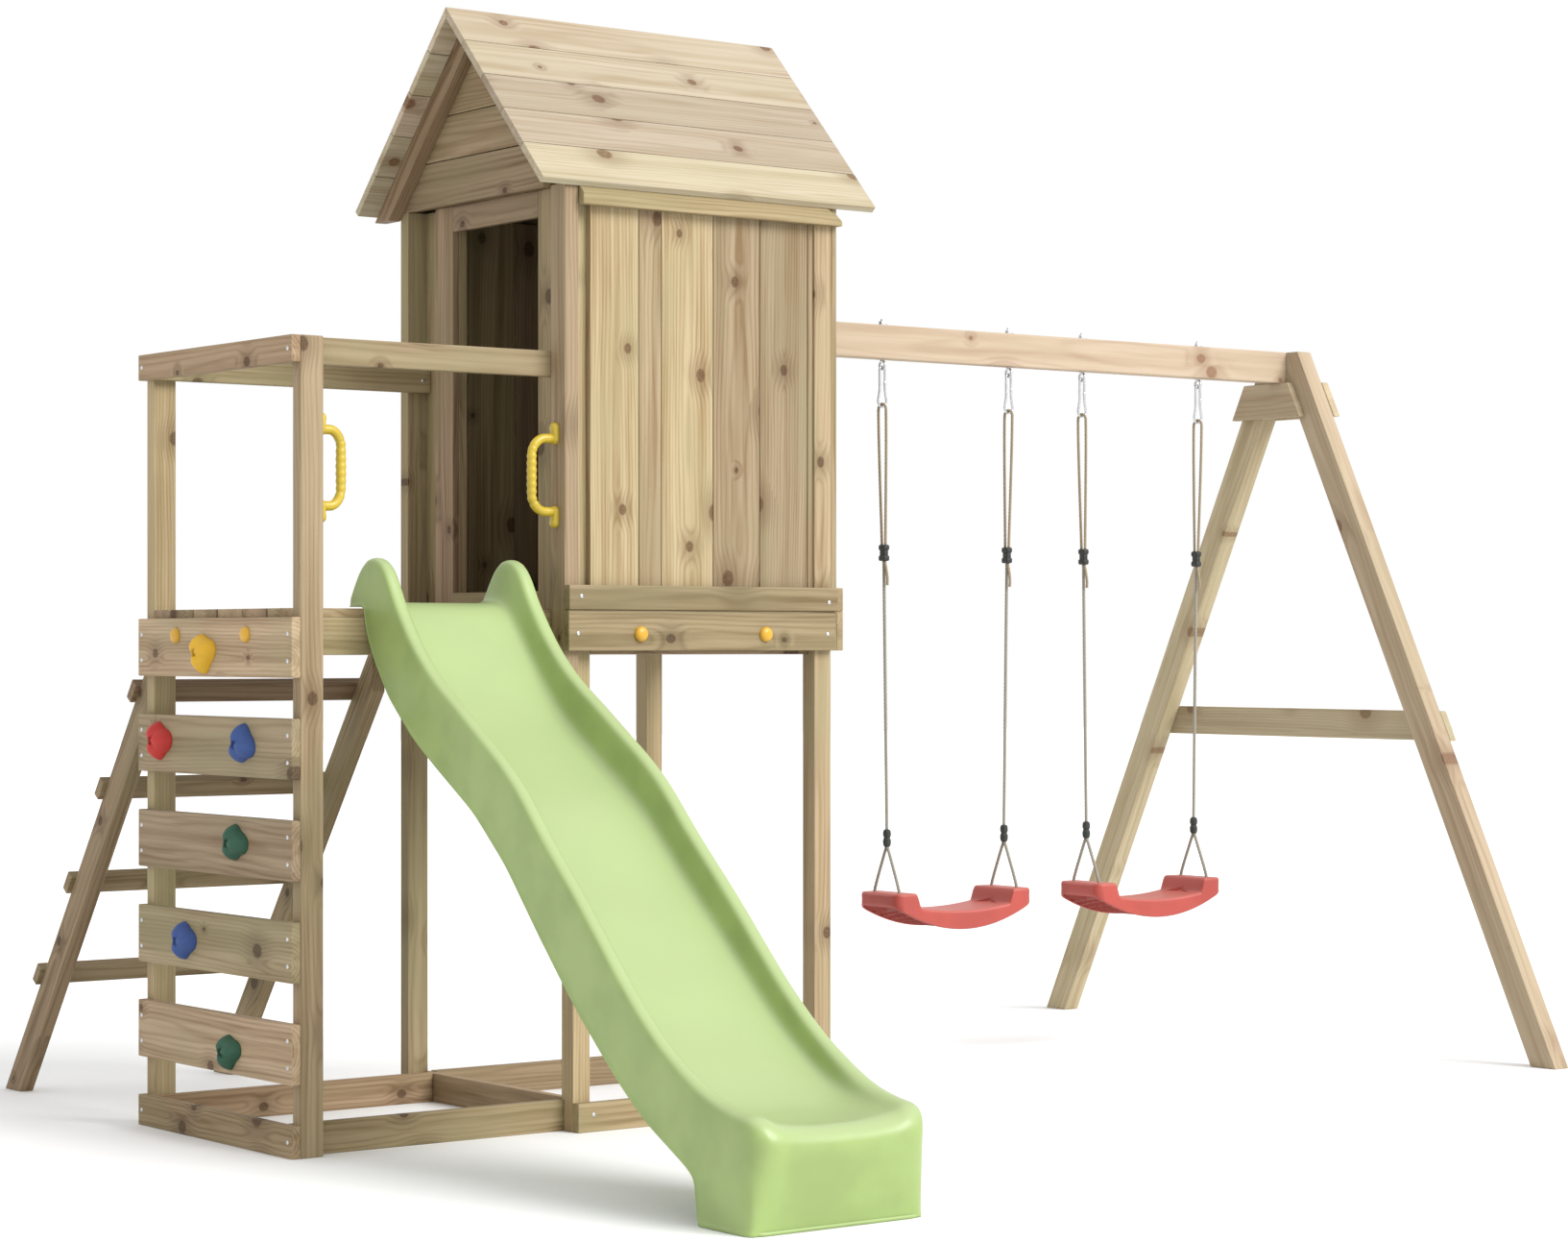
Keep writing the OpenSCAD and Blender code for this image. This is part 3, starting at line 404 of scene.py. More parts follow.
def board_axes(part):
    """A board's own axes: along its longest edge, across it, and out of its widest face."""
    edges = {e for v in part for e in v.link_edges}
    faces = {f for v in part for f in v.link_faces}
    longest = max(edges, key=lambda e: round(e.calc_length(), 5))
    along = (longest.verts[1].co - longest.verts[0].co).normalized()
    level = [f for f in faces if abs(f.normal.dot(along)) < 0.2]
    out = max(level, key=lambda f: round(f.calc_area(), 6)).normal.copy()
    if along.x + along.y + along.z < 0:
        along = -along
    return along, out.cross(along).normalized(), out


def rebuild_timber(node, material, bevel=2.5, body=FRAME):
    """Stands for a CAD node of boards: the same boards with eased edges, each with its own grain."""
    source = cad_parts[node]
    bm = bmesh.new()
    bm.from_mesh(source.data)
    bm.transform(source.matrix_world)
    bmesh.ops.remove_doubles(bm, verts=bm.verts, dist=1e-5)
    bmesh.ops.dissolve_limit(bm, angle_limit=math.radians(1), verts=bm.verts, edges=bm.edges)
    bm.normal_update()
    grain = bm.verts.layers.float_vector.new("grain")
    tone = bm.verts.layers.float.new("board")
    parts = loose_parts(bm)
    parts.sort(key=lambda part: tuple(round(sum(v.co[i] for v in part) / len(part), 4) for i in (2, 1, 0)))
    for number, part in enumerate(parts):
        pick = random.Random(f"{node}-{number}")
        along, across, out = board_axes(part)
        middle = sum((v.co for v in part), Vector()) / len(part)
        shift = Vector((pick.uniform(0, 40), pick.uniform(-0.035, 0.035), pick.uniform(0.012, 0.075)))
        lean = Vector((pick.uniform(-0.012, 0.012), pick.uniform(-0.010, 0.010)))
        shade = pick.random()
        for v in part:
            d = v.co - middle
            x, y, z = d.dot(along), d.dot(across), d.dot(out)
            v[grain] = Vector((x + shift.x, y + shift.y + lean.x * x, z + shift.z + lean.y * x))
            v[tone] = shade
    long_edges = [e for e in bm.edges if e.calc_length() > 0.012 and e.calc_face_angle(0) > 0.3]
    bmesh.ops.bevel(bm, geom=long_edges, offset=bevel * MM, segments=2, profile=0.6, affect="EDGES", clamp_overlap=True)
    mesh = bpy.data.meshes.new(node + "_timber")
    bm.to_mesh(mesh)
    bm.free()
    return place_mesh(node + "_timber", mesh, material, body, node, smooth=False)


TIMBER = [
    (TOWER, 2.5, [
        "wall_post_near", "wall_post_far", "inner_post_near", "inner_post_far", "tower_post_front_left",
        "tower_post_front_right", "tower_post_back_right", "swing_beam_stud", "guard_rails",
    ]),
    (DARK, 2.5, [
        "wall_base_plank", "wall_top_beam", "base_beams", "tower_base_boards", "deck_frame",
        "ladder_rail_left", "ladder_rail_right", "ladder_rungs", "upper_skirt_boards", "lower_skirt_boards",
        "door_frame", "rafters", "eave_purlins", "back_wall_planks", "door_wall_planks", "gable_boards",
    ]),
    (PLANK, 1.8, ["deck_boards", "tower_floor_boards", "front_wall_planks", "side_wall_planks"]),
    (ROOF, 1.8, ["roof_planks_front", "roof_planks_back"]),
    (PALE, 3.5, ["swing_beam"]),
    (LEG, 3.5, [
        "aframe_leg_near", "aframe_leg_far", "aframe_gusset_front", "aframe_gusset_rear", "aframe_crossbar",
    ]),
    (CLIMB, 3.0, [f"climbing_board_{number}" for number in range(1, 6)]),
]
for material, bevel, nodes in TIMBER:
    for node in nodes:
        rebuild_timber(node, material, bevel)


# ---- Slide ----

SLIDE_X = 0.378
RIM = [
    (100, 1238), (72, 1290), (45, 1316), (15, 1325), (-20, 1318), (-50, 1290), (-80, 1238), (-165, 1132),
    (-255, 1056), (-345, 1000), (-435, 942), (-520, 888), (-600, 826), (-690, 736), (-840, 600),
    (-955, 487), (-1045, 405), (-1135, 336), (-1195, 301), (-1250, 273), (-1310, 249), (-1360, 237),
    (-1406, 229), (-1438, 225),
]
FLOOR = [
    (100, 1224), (20, 1222), (-25, 1204), (-80, 1140), (-165, 1040), (-255, 958), (-345, 898),
    (-435, 842), (-520, 788), (-600, 724), (-690, 640), (-840, 510), (-955, 406), (-1045, 332),
    (-1135, 274), (-1230, 226), (-1330, 201), (-1440, 200),
]
LOWER = [
    (100, 1214), (36, 1213), (33, 1168), (0, 1105), (-65, 1018), (-170, 928), (-265, 868), (-430, 772),
    (-560, 665), (-695, 522), (-825, 392), (-976, 262), (-1080, 187), (-1225, 113), (-1258, 92),
    (-1265, 1), (-1470, 1),
]


def height_along(outline, smooth=True):
    """Height as a function of y, from an outline of (y, z) points that run towards -y."""
    line = [Vector((y, z, 0)) for y, z in outline]
    if smooth:
        line = smooth_line(line, 12)

    def height(y):
        for a, b in zip(line, line[1:]):
            if b.x <= y <= a.x:
                return a.y + (b.y - a.y) * (a.x - y) / max(a.x - b.x, 1e-6)
        return line[-1].y if y < line[-1].x else line[0].y
    return height


def half_width(y):
    """Half of the slide's width: it widens a little from the horns to the exit."""
    return 194 + 18 * min(max((-50 - y) / 1200, 0.0), 1.0)


def slide_ring(y, zf, zr, zl):
    """The cage of the slide's section at y: up the left side, over the rims and the trough, and down again."""
    w = half_width(y)
    rise = max(zr - zf, 3.0)
    spread = min(max((-1140 - y) / 240, 0.0), 1.0)
    inner, foot = w - 37 - 20 * spread, 34 + 66 * spread
    half = [
        (0, zf), (0.55 * (inner - foot), zf), (inner - foot, zf),
        (inner - 6 - 20 * spread, zf + rise * (0.03 + 0.22 * spread)),
        (inner, zr - min(26.0, rise * 0.42)), (inner + 3 + 12 * spread, zr), (w, zr),
    ]
    drop = zr - zl
    half += [(w, zr - min(28.0 + 14 * spread, drop * 0.3)), (w + 0.5, zr - drop * 0.5)]
    half += [(w + 1, zl + min(30.0, drop * 0.25))]
    half += [(w + 1, zl + min(9.0, drop * 0.12)), (w + 3, zl + min(8.0, drop * 0.1)), (w + 3, zl)]
    return [(-x, z) for x, z in reversed(half[1:])] + half


SLIDE_STATIONS = [
    100, 85, 68, 50, 37, 32, 15, -8, -30, -52, -75, -100, -130, -165, -210, -255, -300, -345, -390, -435, -480,
    -520, -560, -600, -645, -690, -740, -790, -840, -900, -955, -1000, -1045, -1090, -1135, -1180, -1220,
    -1250, -1259, -1266, -1280, -1320, -1362, -1400,
]
SIDE_ROWS = 6


def front_lean(z):
    """How far the exit's front face stands back from its foremost line, at height z."""
    return 32 * max(0.0, (165 - z) / 165)


def build_slide():
    rim, floor, lower = height_along(RIM), height_along(FLOOR), height_along(LOWER, smooth=False)
    rings = [[(x, y, z) for x, z in slide_ring(y, floor(y), rim(y), lower(y))] for y in SLIDE_STATIONS]
    rings.append([(x, -1438, z) for x, z in slide_ring(-1438, 204, 227, 1)])
    full = half_width(-1462)
    edge = [(x * (full - 24) / full, z) for x, z in slide_ring(-1462, 178, 186, 1)]
    rings.append([(x, -1469 + front_lean(z), z) for x, z in edge])
    width = len(edge)
    points = [at(SLIDE_X + x * MM, y * MM, z * MM) for ring in rings for x, y, z in ring]
    faces = []
    for i in range(len(rings) - 1):
        for k in range(width - 1):
            a = i * width + k
            faces.append((a, a + width, a + width + 1, a + 1))
    # The front face: a grid between the last ring's left side, top row and right side
    last, columns = (len(rings) - 1) * width, width - 2 * SIDE_ROWS
    grid = {}
    for m in range(SIDE_ROWS + 1):
        z = edge[m][1]
        for k in range(columns):
            if m == SIDE_ROWS:
                grid[m, k] = last + SIDE_ROWS + k
            elif k == 0:
                grid[m, k] = last + m
            elif k == columns - 1:
                grid[m, k] = last + width - 1 - m
            else:
                grid[m, k] = len(points)
                points.append(at(SLIDE_X + edge[SIDE_ROWS + k][0] * MM, (-1469 + front_lean(z)) * MM, z * MM))
    for m in range(SIDE_ROWS):
        for k in range(columns - 1):
            faces.append((grid[m, k], grid[m, k + 1], grid[m + 1, k + 1], grid[m + 1, k]))
    piece = make("slide_shell", points, faces, GREEN, FRAME, "slide")
    smoother = piece.modifiers.new("smooth", "SUBSURF")
    smoother.levels = 2
    smoother.render_levels = 2
    smoother.boundary_smooth = "PRESERVE_CORNERS"
    shell = piece.modifiers.new("wall", "SOLIDIFY")
    shell.thickness = 0.004
    shell.offset = -1


def build_slide_lip():
    """The moulded lip round the foot of the exit."""
    side, back, front, corner_r, r = 0.2105, -1.268, -1.4395, 0.036, 0.004
    line = [at(SLIDE_X - side, back, r + 0.0003)]
    for sign, begin in ((-1, 180), (1, 270)):
        for a in range(0, 91, 10):
            t = math.radians(begin + a)
            x = sign * (side - corner_r) + corner_r * math.cos(t)
            line.append(at(SLIDE_X + x, front + corner_r + corner_r * math.sin(t), r + 0.0003))
    line.append(at(SLIDE_X + side, back, r + 0.0003))
    shape = Shape()
    shape.rings(sweep(respace(line, 0.006), (0, 0, 1), lambda gone, a: r, 12))
    make("slide_lip", shape.points, shape.faces, GREEN, FRAME, "slide")


build_slide()
build_slide_lip()


# ---- Climbing holds ----

BOARD_FACE = -0.023
HOLD_REACH = 0.0395


def hold_shape(y, z, height, turn, seed):
    """A rounded three-cornered boss with hollows between its corners, and a deep recess for its bolt."""
    pick = random.Random(seed)
    sides, pit_r, pit_depth = 72, 0.0095, 0.024
    phase, sag = pick.uniform(0, 6.28), pick.uniform(0.9, 1.1)
    shares = [1.0, 0.995, 0.97, 0.93, 0.88, 0.82, 0.75, 0.67, 0.59, 0.51, 0.43, 0.36, 0.30, 0.26]
    shape = Shape()
    angle = math.radians(turn)
    rings = []
    for share in shares + [None, None, None, None]:
        ring = []
        for k in range(sides):
            a = 2 * math.pi * k / sides
            corners = math.cos(3 * a)
            foot = 0.5 * height * (1.0 + 0.17 * corners + 0.03 * math.sin(2 * a + phase))
            if share is None:
                step = len(rings) - len(shares)
                dist = pit_r * (1.12, 1.0, 0.94, 0.02)[step]
                r = dist / foot
            else:
                r = share
                dist = max(foot * r, pit_r * 1.3)
            dome = (1 - min(r, 1.0) ** 2.2) ** 0.66
            hollow = 0.16 * math.sin(math.pi * min(r, 1.0)) * (0.5 - 0.5 * corners) * sag
            bowl = 0.10 * max(0.0, 1 - (r / 0.50) ** 2)
            reach = HOLD_REACH * dome * (1 - hollow) * (1 - bowl)
            if share is None and step >= 2:
                reach -= pit_depth
            u, v = dist * math.cos(a), dist * math.sin(a)
            up = u * math.cos(angle) - v * math.sin(angle)
            side = u * math.sin(angle) + v * math.cos(angle)
            ring.append(at(BOARD_FACE - max(reach, 0.0), y + side, z + up))
        rings.append(ring)
    shape.rings(rings)
    return shape


HOLDS = {
    "hold_red": (HOLD_RED, [(0.611, 0.906, 0.084, -85)]),
    "hold_yellow": (HOLD_YELLOW, [(0.396, 1.111, 0.084, -75)]),
    "holds_blue": (HOLD_BLUE, [(0.209, 0.906, 0.082, -105), (0.487, 0.449, 0.080, -90)]),
    "holds_green": (HOLD_GREEN, [(0.243, 0.684, 0.078, -95), (0.272, 0.213, 0.074, -80)]),
}
hold_bolts = Shape()
for node, (material, places) in HOLDS.items():
    for number, (y, z, height, turn) in enumerate(places):
        shape = hold_shape(y, z, height, turn, f"{node}-{number}")
        make(f"{node}_boss_{number}", shape.points, shape.faces, material, FRAME, node)
        hold_bolts.lathe([(0.0, 0.0), (0.0055, 0.0), (0.0055, 0.004), (0.003, 0.004), (0.003, 0.001), (0.0, 0.001)],
                         at(BOARD_FACE - 0.0118, y, z), (-1, 0, 0), 20)
make("hold_bolt_heads", hold_bolts.points, hold_bolts.faces, STEEL, FRAME, None, sharp=40)

caps = Shape()
CAP = [(0.0, 0.0), (0.0178, 0.0), (0.018, 0.0028), (0.0172, 0.0055), (0.0155, 0.0082), (0.0128, 0.0104),
       (0.009, 0.0120), (0.0045, 0.0128), (0.0, 0.013)]
for y, z in [(0.541, 1.150), (0.206, 1.152)]:
    caps.lathe(CAP, at(BOARD_FACE, y, z), (-1, 0, 0), 40)
for x in (0.877, 1.240):
    caps.lathe(CAP, at(x, -0.044, 1.154), (0, -1, 0), 40)
make("yellow_caps", caps.points, caps.faces, AMBER, FRAME, "bolt_caps", sharp=50)


# ---- Grab handles ----

HANDLE_LOW, HANDLE_HIGH, FOOT_R, FOOT_T, BAR_IN, BAR_R = 1.398, 1.643, 0.014, 0.012, 0.038, 0.013


def build_handle(node, x, y, reach):
    """A bowed bar with finger grooves between two long feet; a negative reach bows towards -X."""
    way = 1 if reach > 0 else -1
    low, high, bow = HANDLE_LOW + BAR_IN, HANDLE_HIGH - BAR_IN, 0.040
    start, out = x + 0.004 * way, reach - BAR_R * way - 0.003 * way
    line = [at(start, y, low)]
    for a in range(0, 91, 15):
        t = math.radians(a)
        line.append(at(start + out * (0.40 + 0.60 * math.sin(t)), y, low + bow * (1 - math.cos(t))))
    for a in range(90, -1, -15):
        t = math.radians(a)
        line.append(at(start + out * (0.40 + 0.60 * math.sin(t)), y, high - bow * (1 - math.cos(t))))
    line.append(at(start, y, high))
    line = respace(smooth_line(line, 6), 0.0025)
    total = line_length(line)

    def radius(gone, a):
        middle = abs(gone / total - 0.5)
        groove = 0.0014 * (0.5 + 0.5 * math.cos(2 * math.pi * gone / 0.0165)) if middle < 0.26 else 0.0
        swell = 0.0012 * max(0.0, 1 - (middle / 0.25) ** 2)
        return BAR_R - 0.0022 - groove + swell

    shape = Shape()
    shape.rings(sweep(line, (0, 1, 0), radius, 28))
    for sign, end in ((-1, HANDLE_LOW), (1, HANDLE_HIGH)):
        rings = []
        for inset, depth in ((0.0, 0.0), (0.0, 0.0055), (0.0012, 0.0088), (0.0040, 0.0108), (0.0085, 0.0118)):
            ring = []
            for k in range(40):
                t = 2 * math.pi * k / 40
                far = math.cos(t) > 0
                middle = end - sign * (FOOT_R if far else BAR_IN)
                r = FOOT_R - 0.0002 - inset
                ring.append(at(x + way * depth, y + r * math.sin(t), middle + sign * r * math.cos(t)))
            rings.append(ring)
        shape.rings(rings)
        boss = [(0.0, 0.0), (0.0118, 0.0), (0.0118, 0.0095), (0.0100, 0.0118), (0.0, 0.012)]
        shape.lathe(boss, at(x, y, end - sign * FOOT_R), (way, 0, 0), 30)
    make(node + "_grip", shape.points, shape.faces, YELLOW, FRAME, node, sharp=60)


build_handle("handle_left", 0.057, 0.018, 0.066)
build_handle("handle_right", 0.678, 0.014, -0.078)


# ---- Swings ----

HOOK_SPREAD, SEAT_SPREAD = 0.438, 0.406
HOOK_BOTTOM, HOOK_TOP = 1.757, 1.8623
NECK_R, BULB_R, WIRE_R = 0.0085, 0.014, 0.0035
ADJUSTER = (1.350, 1.393)
FERRULE = (0.596, 0.641)
LOOP_R, LOOP_TOP = 0.016, 1.7645
LOOP_ROPE, ROPE = 0.008, 0.009
LOOP_STRAND = [
    (7.5, 1393), (8, 1415), (8.6, 1438), (9.4, 1462), (10.2, 1486), (11, 1510), (11.7, 1534), (12.4, 1558),
    (13.1, 1582), (13.8, 1606), (14.4, 1630), (15, 1654), (15.5, 1678), (15.8, 1702), (16, 1726),
]
SEAT_LEG = [
    (4, 596), (4, 592), (9, 581), (16, 565), (23, 549), (30, 533), (37, 517), (44, 500), (50, 484), (52, 474),
    (52, 464), (52, 456),
]
TAIL = [(-5, 1350), (-5, 1346), (-8, 1335), (-12, 1318), (-14, 1302), (-13, 1286)]
SEAT_TOP, SEAT_L, SEAT_W = 0.475, 0.468, 0.170


def rope_at(x, side, y, z):
    """A point on a swing's rope: the ropes draw together from the hooks down to the ferrules."""
    high, low = HOOK_SPREAD / 2, SEAT_SPREAD / 2
    half = low + (high - low) * max(0.0, z - FERRULE[1]) / (HOOK_BOTTOM - FERRULE[1])
    return at(x + side * half, swing_y + y, z)


def laid_rope(name, line, diameter, material, body, normal=(1, 0, 0)):
    """A rope of three twisted strands along a line."""
    line = respace(line, 0.0026)

    def radius(gone, a):
        return diameter / 2 * (0.93 + 0.07 * math.cos(3 * (a - 2 * math.pi * gone / 0.030)))

    shape = Shape()
    shape.rings(sweep(line, normal, radius, 15))
    piece = make(name, shape.points, shape.faces, material, body, body + "_ropes")
    return piece


def build_ropes(body, x):
    for side, tag in ((-1, "left"), (1, "right")):
        bend = LOOP_TOP - LOOP_R
        loop = [rope_at(x, side, y * MM, z * MM) for y, z in LOOP_STRAND]
        for a in range(0, 181, 12):
            t = math.radians(a)
            loop.append(rope_at(x, side, LOOP_R * math.cos(t), bend + LOOP_R * math.sin(t)))
        loop += [rope_at(x, side, -y * MM, z * MM) for y, z in reversed(LOOP_STRAND)]
        laid_rope(f"{body}_loop_{tag}", loop, LOOP_ROPE, ROPE_TAN, body)
        low = [rope_at(x, side, 0, ADJUSTER[0]), rope_at(x, side, 0, FERRULE[1])]
        laid_rope(f"{body}_rope_{tag}", low, ROPE, ROPE_GREY, body, (0, 1, 0))
        tail = smooth_line([rope_at(x, side, y * MM, z * MM) for y, z in TAIL], 6)
        laid_rope(f"{body}_tail_{tag}", tail, LOOP_ROPE, ROPE_TAN, body)
        for leg, end in ((-1, "front"), (1, "back")):
            line = smooth_line([rope_at(x, side, leg * y * MM, z * MM) for y, z in SEAT_LEG], 5)
            laid_rope(f"{body}_leg_{tag}_{end}", line, ROPE, ROPE_GREY, body)
            knot = Shape()
            turns = [(0.0, 0.0), (0.006, 0.0005), (0.0086, 0.004), (0.0078, 0.0075), (0.009, 0.011), (0.0076, 0.0155), (0.004, 0.018), (0.0, 0.018)]
            knot.lathe(turns, rope_at(x, side, leg * 0.052, 0.445), (0, 0, 1), 18)
            make(f"{body}_knot_{tag}_{end}", knot.points, knot.faces, ROPE_GREY, body, body + "_ropes")


def build_hooks(body, x):
    """Pear-shaped snap hooks, each with its gate's sleeve and hinge rivet."""
    shape = Shape()
    neck, bulb = HOOK_TOP - NECK_R, HOOK_BOTTOM + BULB_R
    for side in (-1, 1):
        hx = x + side * HOOK_SPREAD / 2
        line = []
        for a in range(180, 361, 12):
            t = math.radians(a)
            line.append(at(hx + BULB_R * math.cos(t), swing_y, bulb + BULB_R * math.sin(t)))
        line += [at(hx + 0.0135, swing_y, 1.776), at(hx + 0.0108, swing_y, 1.788)]
        line += [at(hx + NECK_R, swing_y, 1.802 + 0.006 * i) for i in range(9)]
        for a in range(0, 181, 15):
            t = math.radians(a)
            line.append(at(hx + NECK_R * math.cos(t), swing_y, neck + NECK_R * math.sin(t)))
        line += [at(hx - NECK_R, swing_y, 1.850 - 0.006 * i) for i in range(9)]
        line += [at(hx - 0.0108, swing_y, 1.788), at(hx - 0.0135, swing_y, 1.776)]
        shape.rings(sweep(line, (0, 1, 0), lambda gone, a: WIRE_R - 0.0001, 14, closed=True), closed=True)
        sleeve = [(0.0, 0.0), (0.0036, 0.0), (0.0044, 0.0012), (0.0044, 0.0118), (0.0036, 0.013), (0.0, 0.013)]
        shape.lathe(sleeve, at(hx + NECK_R, swing_y, 1.812), (0, 0, 1), 20)
        rivet = [(0.0, -0.0047), (0.0018, -0.0045), (0.0018, 0.0045), (0.0, 0.0047)]
        shape.lathe(rivet, at(hx + NECK_R, swing_y, 1.846), (0, 1, 0), 14)
    make(body + "_snap_hooks", shape.points, shape.faces, STEEL, body, body + "_hooks", sharp=55)


def rounded_block(shape, centre, size, r):
    """A block with round edges, as rings of a rounded rectangle."""
    sx, sy, sz = [s / 2 for s in size]
    rings = []
    for a in (90, 60, 30, 0):
        t = math.radians(a)
        rings.append((-sz + r - r * math.sin(t), r * (1 - math.cos(t))))
    rings += [(-z, inset) for z, inset in reversed(rings)]
    loops = []
    for z, inset in rings:
        loop = []
        for cx, cy, begin in ((1, 1, 0), (-1, 1, 90), (-1, -1, 180), (1, -1, 270)):
            for step in range(0, 91, 18):
                t = math.radians(begin + step)
                loop.append(Vector((centre[0] + cx * (sx - r) + (r - inset) * math.cos(t),
                                    centre[1] + cy * (sy - r) + (r - inset) * math.sin(t), centre[2] + z)))
        loops.append(loop)
    shape.rings(loops)


def build_fittings(body, x):
    """Three-hole rope adjusters and the ferrules that hold the ropes' forks."""
    blocks, ferrules = Shape(), Shape()
    for side in (-1, 1):
        place = rope_at(x, side, 0, ADJUSTER[0])
        for z, size in ((0.0075, (0.020, 0.026, 0.015)), (0.0355, (0.020, 0.026, 0.015)), (0.0215, (0.016, 0.021, 0.022))):
            rounded_block(blocks, place + Vector((0, 0, z)), size, 0.0045)
        profile = [(0.0, 0.0), (0.0070, 0.0)]
        for step in range(1, 29):
            high = step / 29
            waist = 0.0026 * math.exp(-((high - 0.52) / 0.09) ** 2)
            ends = 0.0030 * (abs(2 * high - 1)) ** 5
            knurl = 0.0005 * math.cos(math.pi * step)
            profile.append((0.0108 - waist - ends + knurl, 0.045 * high))
        profile += [(0.0070, 0.045), (0.0, 0.045)]
        ferrules.lathe(profile, rope_at(x, side, 0, FERRULE[0]), (0, 0, 1), 28)
    node = body + "_rope_fittings"
    make(body + "_adjusters", blocks.points, blocks.faces, BLACK, body, node, sharp=60)
    make(body + "_ferrules", ferrules.points, ferrules.faces, GREY, body, node, sharp=60)


SEAT_STEP = (0.150, 0.170)
SEAT_SHELL = 0.008


def seat_top(u):
    low, high = SEAT_STEP
    if abs(u) >= high:
        return SEAT_TOP
    if abs(u) <= low:
        return 0.424 + 0.012 * (abs(u) / low) ** 2
    return 0.436 + 0.039 * (0.5 - 0.5 * math.cos(math.pi * (abs(u) - low) / (high - low)))


def seat_under(u):
    return 0.374 + 0.063 * (2 * u / SEAT_L) ** 2


def seat_stations():
    half = [0.013 * i for i in range(11)] + [0.143 + 0.0027 * i for i in range(13)] + [0.182, 0.190, 0.198]
    half += [SEAT_L / 2 - 0.028 * (1 - math.sin(math.radians(a))) for a in range(0, 91, 9)]
    return sorted({-u for u in half} | set(half))


def build_seat(body, x):
    """A moulded seat: a dished tread between two raised blocks, skirts round it, and ribs below."""
    shape = Shape()
    end_r, loops = 0.026, []
    for u in seat_stations():
        from_end = SEAT_L / 2 - abs(u)
        shrink = 0.0
        if from_end < end_r:
            shrink = end_r - math.sqrt(max(0.0, end_r ** 2 - (end_r - from_end) ** 2))
        half = SEAT_W / 2 - shrink * 0.92
        soft = 0.007 * max(0.0, 1 - from_end / 0.010) ** 2
        top, skirt = seat_top(u) - soft, seat_under(u) + soft
        ceiling = top - SEAT_SHELL if from_end > SEAT_SHELL else skirt + 0.002
        wall = SEAT_SHELL if from_end > SEAT_SHELL else 0.012
        edge = min(0.008, half * 0.5)
        upper = []
        for a in (0, 22.5, 45, 67.5, 90):
            t = math.radians(a)
            upper.append((half - edge + edge * math.cos(t), top - edge + edge * math.sin(t)))
        for k in (0.85, 0.7, 0.35):
            upper.append(((half - edge) * k, top))
        lower = [(half - wall, ceiling), (half - wall, skirt + 0.002), (half - wall + 0.002, skirt), (half - 0.002, skirt)]
        lower += [(half, skirt + 0.002), (half - 0.0008, (top + skirt) / 2)]
        mirror = [(-v, z) for v, z in reversed(upper)]
        loop = upper + [(0.0, top)] + mirror + [(-v, z) for v, z in reversed(lower)] + lower
        loops.append([at(x + u, swing_y + v, z) for v, z in loop])
    shape.rings(loops)
    half_v, rib_t = SEAT_W / 2 - SEAT_SHELL, 0.0012
    for i in range(17):
        u = -0.208 + 0.026 * i
        for lean in (-1, 1):
            points = []
            for sign in (-1, 1):
                here = min(max(u + lean * 0.026 * sign, -0.222), 0.222)
                low, high = seat_under(here) + 0.002, seat_top(here) - SEAT_SHELL + 0.001
                for du, z in ((-rib_t, low), (rib_t, low), (rib_t, high), (-rib_t, high)):
                    points.append(at(x + here + du, swing_y + half_v * sign, z))
            shape.add(points, [(0, 1, 2, 3), (7, 6, 5, 4), (0, 4, 5, 1), (1, 5, 6, 2), (2, 6, 7, 3), (3, 7, 4, 0)])
    make(body + "_seat_shell", shape.points, shape.faces, RED, body, body + "_seat", sharp=45)


for body, x in SWINGS.items():
    build_ropes(body, x)
    build_hooks(body, x)
    build_fittings(body, x)
    build_seat(body, x)


def build_eye_bolts():
    shape = Shape()
    eye_z, ring_r, beam_top = 1.866, 0.011, 1.971
    for x in SWINGS.values():
        for side in (-1, 1):
            hx = x + side * HOOK_SPREAD / 2
            ring = []
            for k in range(36):
                t = 2 * math.pi * k / 36
                ring.append(at(hx, swing_y + ring_r * math.cos(t), eye_z + ring_r * math.sin(t)))
            shape.rings(sweep(ring, (1, 0, 0), lambda gone, a: WIRE_R, 14, closed=True), closed=True)
            shape.lathe([(0.0, 0.0), (0.0055, 0.0), (0.0055, 0.006), (0.005, 0.0065), (0.005, 0.110), (0.0045, 0.111), (0.0, 0.111)],
                        at(hx, swing_y, eye_z + ring_r), (0, 0, 1), 24)
            shape.lathe([(0.0055, 0.0), (0.014, 0.0), (0.014, 0.0026), (0.0136, 0.003), (0.0055, 0.003)],
                        at(hx, swing_y, beam_top), (0, 0, 1), 32)
            shape.lathe([(0.0, 0.0), (0.009, 0.0), (0.0095, 0.0008), (0.0095, 0.0072), (0.009, 0.008), (0.0, 0.008)],
                        at(hx, swing_y, beam_top + 0.003), (0, 0, 1), 6)
    make("eye_bolts_and_nuts", shape.points, shape.faces, STEEL, FRAME, "eye_bolts", sharp=30)


build_eye_bolts()


# ---- Screws ----

HEAD = [(0.0, 0.0), (0.005, 0.0), (0.0049, 0.0007), (0.0042, 0.0014), (0.0030, 0.0019), (0.0022, 0.0019), (0.0018, 0.0008), (0.0, 0.0006)]
BOLT = [(0.0, 0.0), (0.009, 0.0), (0.0088, 0.0018), (0.0076, 0.0038), (0.0052, 0.0054), (0.0024, 0.006), (0.0, 0.006)]


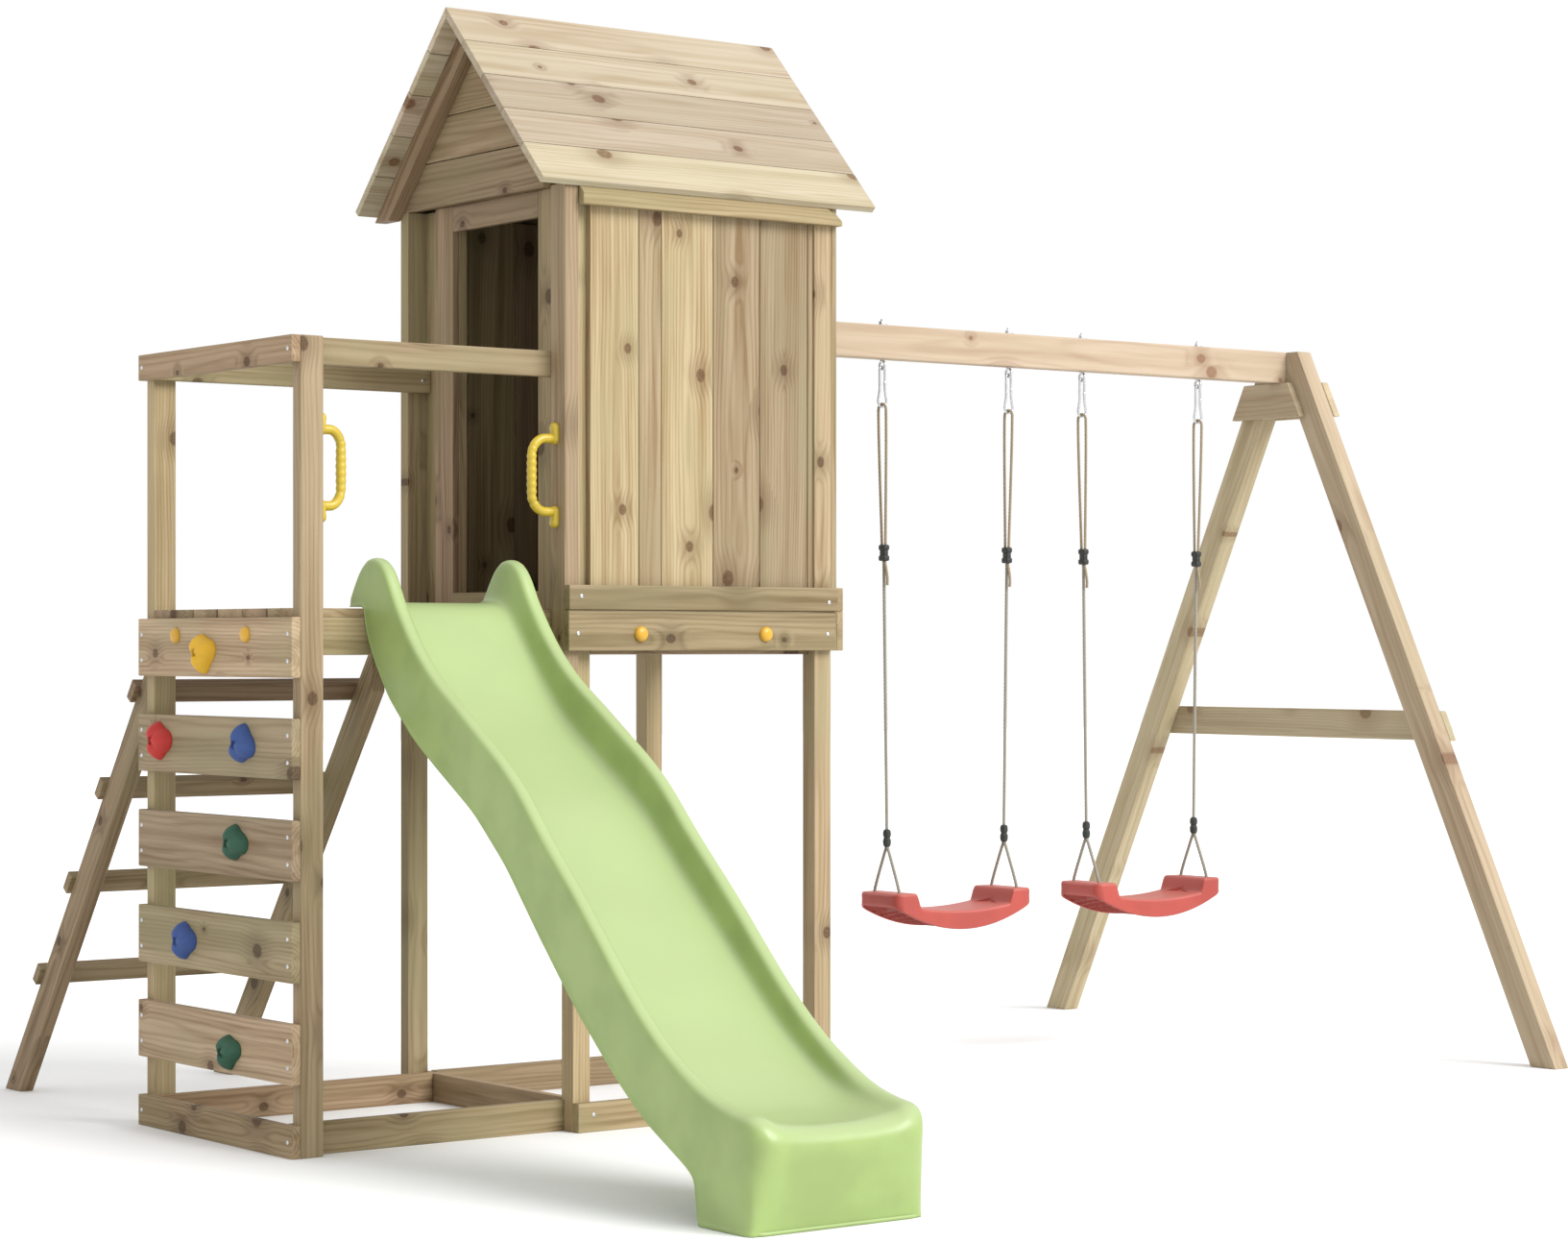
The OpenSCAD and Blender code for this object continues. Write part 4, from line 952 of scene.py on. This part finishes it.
def build_screws():
    shape = Shape()
    left, front, rear = (-1, 0, 0), (0, -1, 0), (1, 0, 0)
    for i in range(5):
        middle = 1.190 - 0.2236 * i - 0.067
        for y in (0.018, 0.716):
            for z in (-0.030, 0.030):
                shape.lathe(HEAD, at(BOARD_FACE, y, middle + z), left, 18)
    for y in (0.018, 0.716):
        for z in (1.780, 0.036):
            shape.lathe(HEAD, at(BOARD_FACE, y, z), left, 18)
    for x, y, z in [(0.707, -0.050, 1.241), (1.428, -0.050, 1.231), (0.702, -0.044, 1.155), (1.428, -0.044, 1.155),
                    (0.758, -0.024, 0.040), (0.722, 0.674, 1.780)]:
        shape.lathe(HEAD, at(x, y, z), front, 18)
    for side in (-1, 1):
        shape.lathe(BOLT, at(3.558, 0.474 + side * 0.100, 1.830), rear, 28)
        shape.lathe(BOLT, at(3.558, 0.474 + side * 0.548, 0.904), rear, 28)
    make("screw_heads", shape.points, shape.faces, STEEL, FRAME, "screws", sharp=40)


build_screws()


# ---- Floor and light ----

def build_floor():
    size = 30.0
    mesh = bpy.data.meshes.new("floor")
    mesh.from_pydata([(-size, -size, 0), (size, -size, 0), (size, size, 0), (-size, size, 0)], [], [(0, 1, 2, 3)])
    g = Graph("floor")
    cloud = g.noise(g.add("ShaderNodeTexCoord").outputs["Object"], 1.5, 2.0)
    mesh.materials.append(g.finish(g.mix(cloud, rgb(0.80, 0.80, 0.80), rgb(0.84, 0.84, 0.84)), 0.9))
    floor = bpy.data.objects.new("floor", mesh)
    bpy.context.scene.collection.objects.link(floor)


build_floor()

world = bpy.data.worlds.new("studio")
bpy.context.scene.world = world
world.use_nodes = True
world.node_tree.nodes["Background"].inputs["Color"].default_value = rgb(1.0, 1.0, 1.0)
world.node_tree.nodes["Background"].inputs["Strength"].default_value = 1.0

sun = bpy.data.objects.new("key_light", bpy.data.lights.new("key_light", "SUN"))
sun.data.energy = 3.2
sun.data.angle = math.radians(35)
sun.rotation_euler = Vector((0.30, -0.75, 0.60)).to_track_quat("Z", "Y").to_euler()
bpy.context.scene.collection.objects.link(sun)
bpy.context.scene.view_settings.view_transform = "Standard"
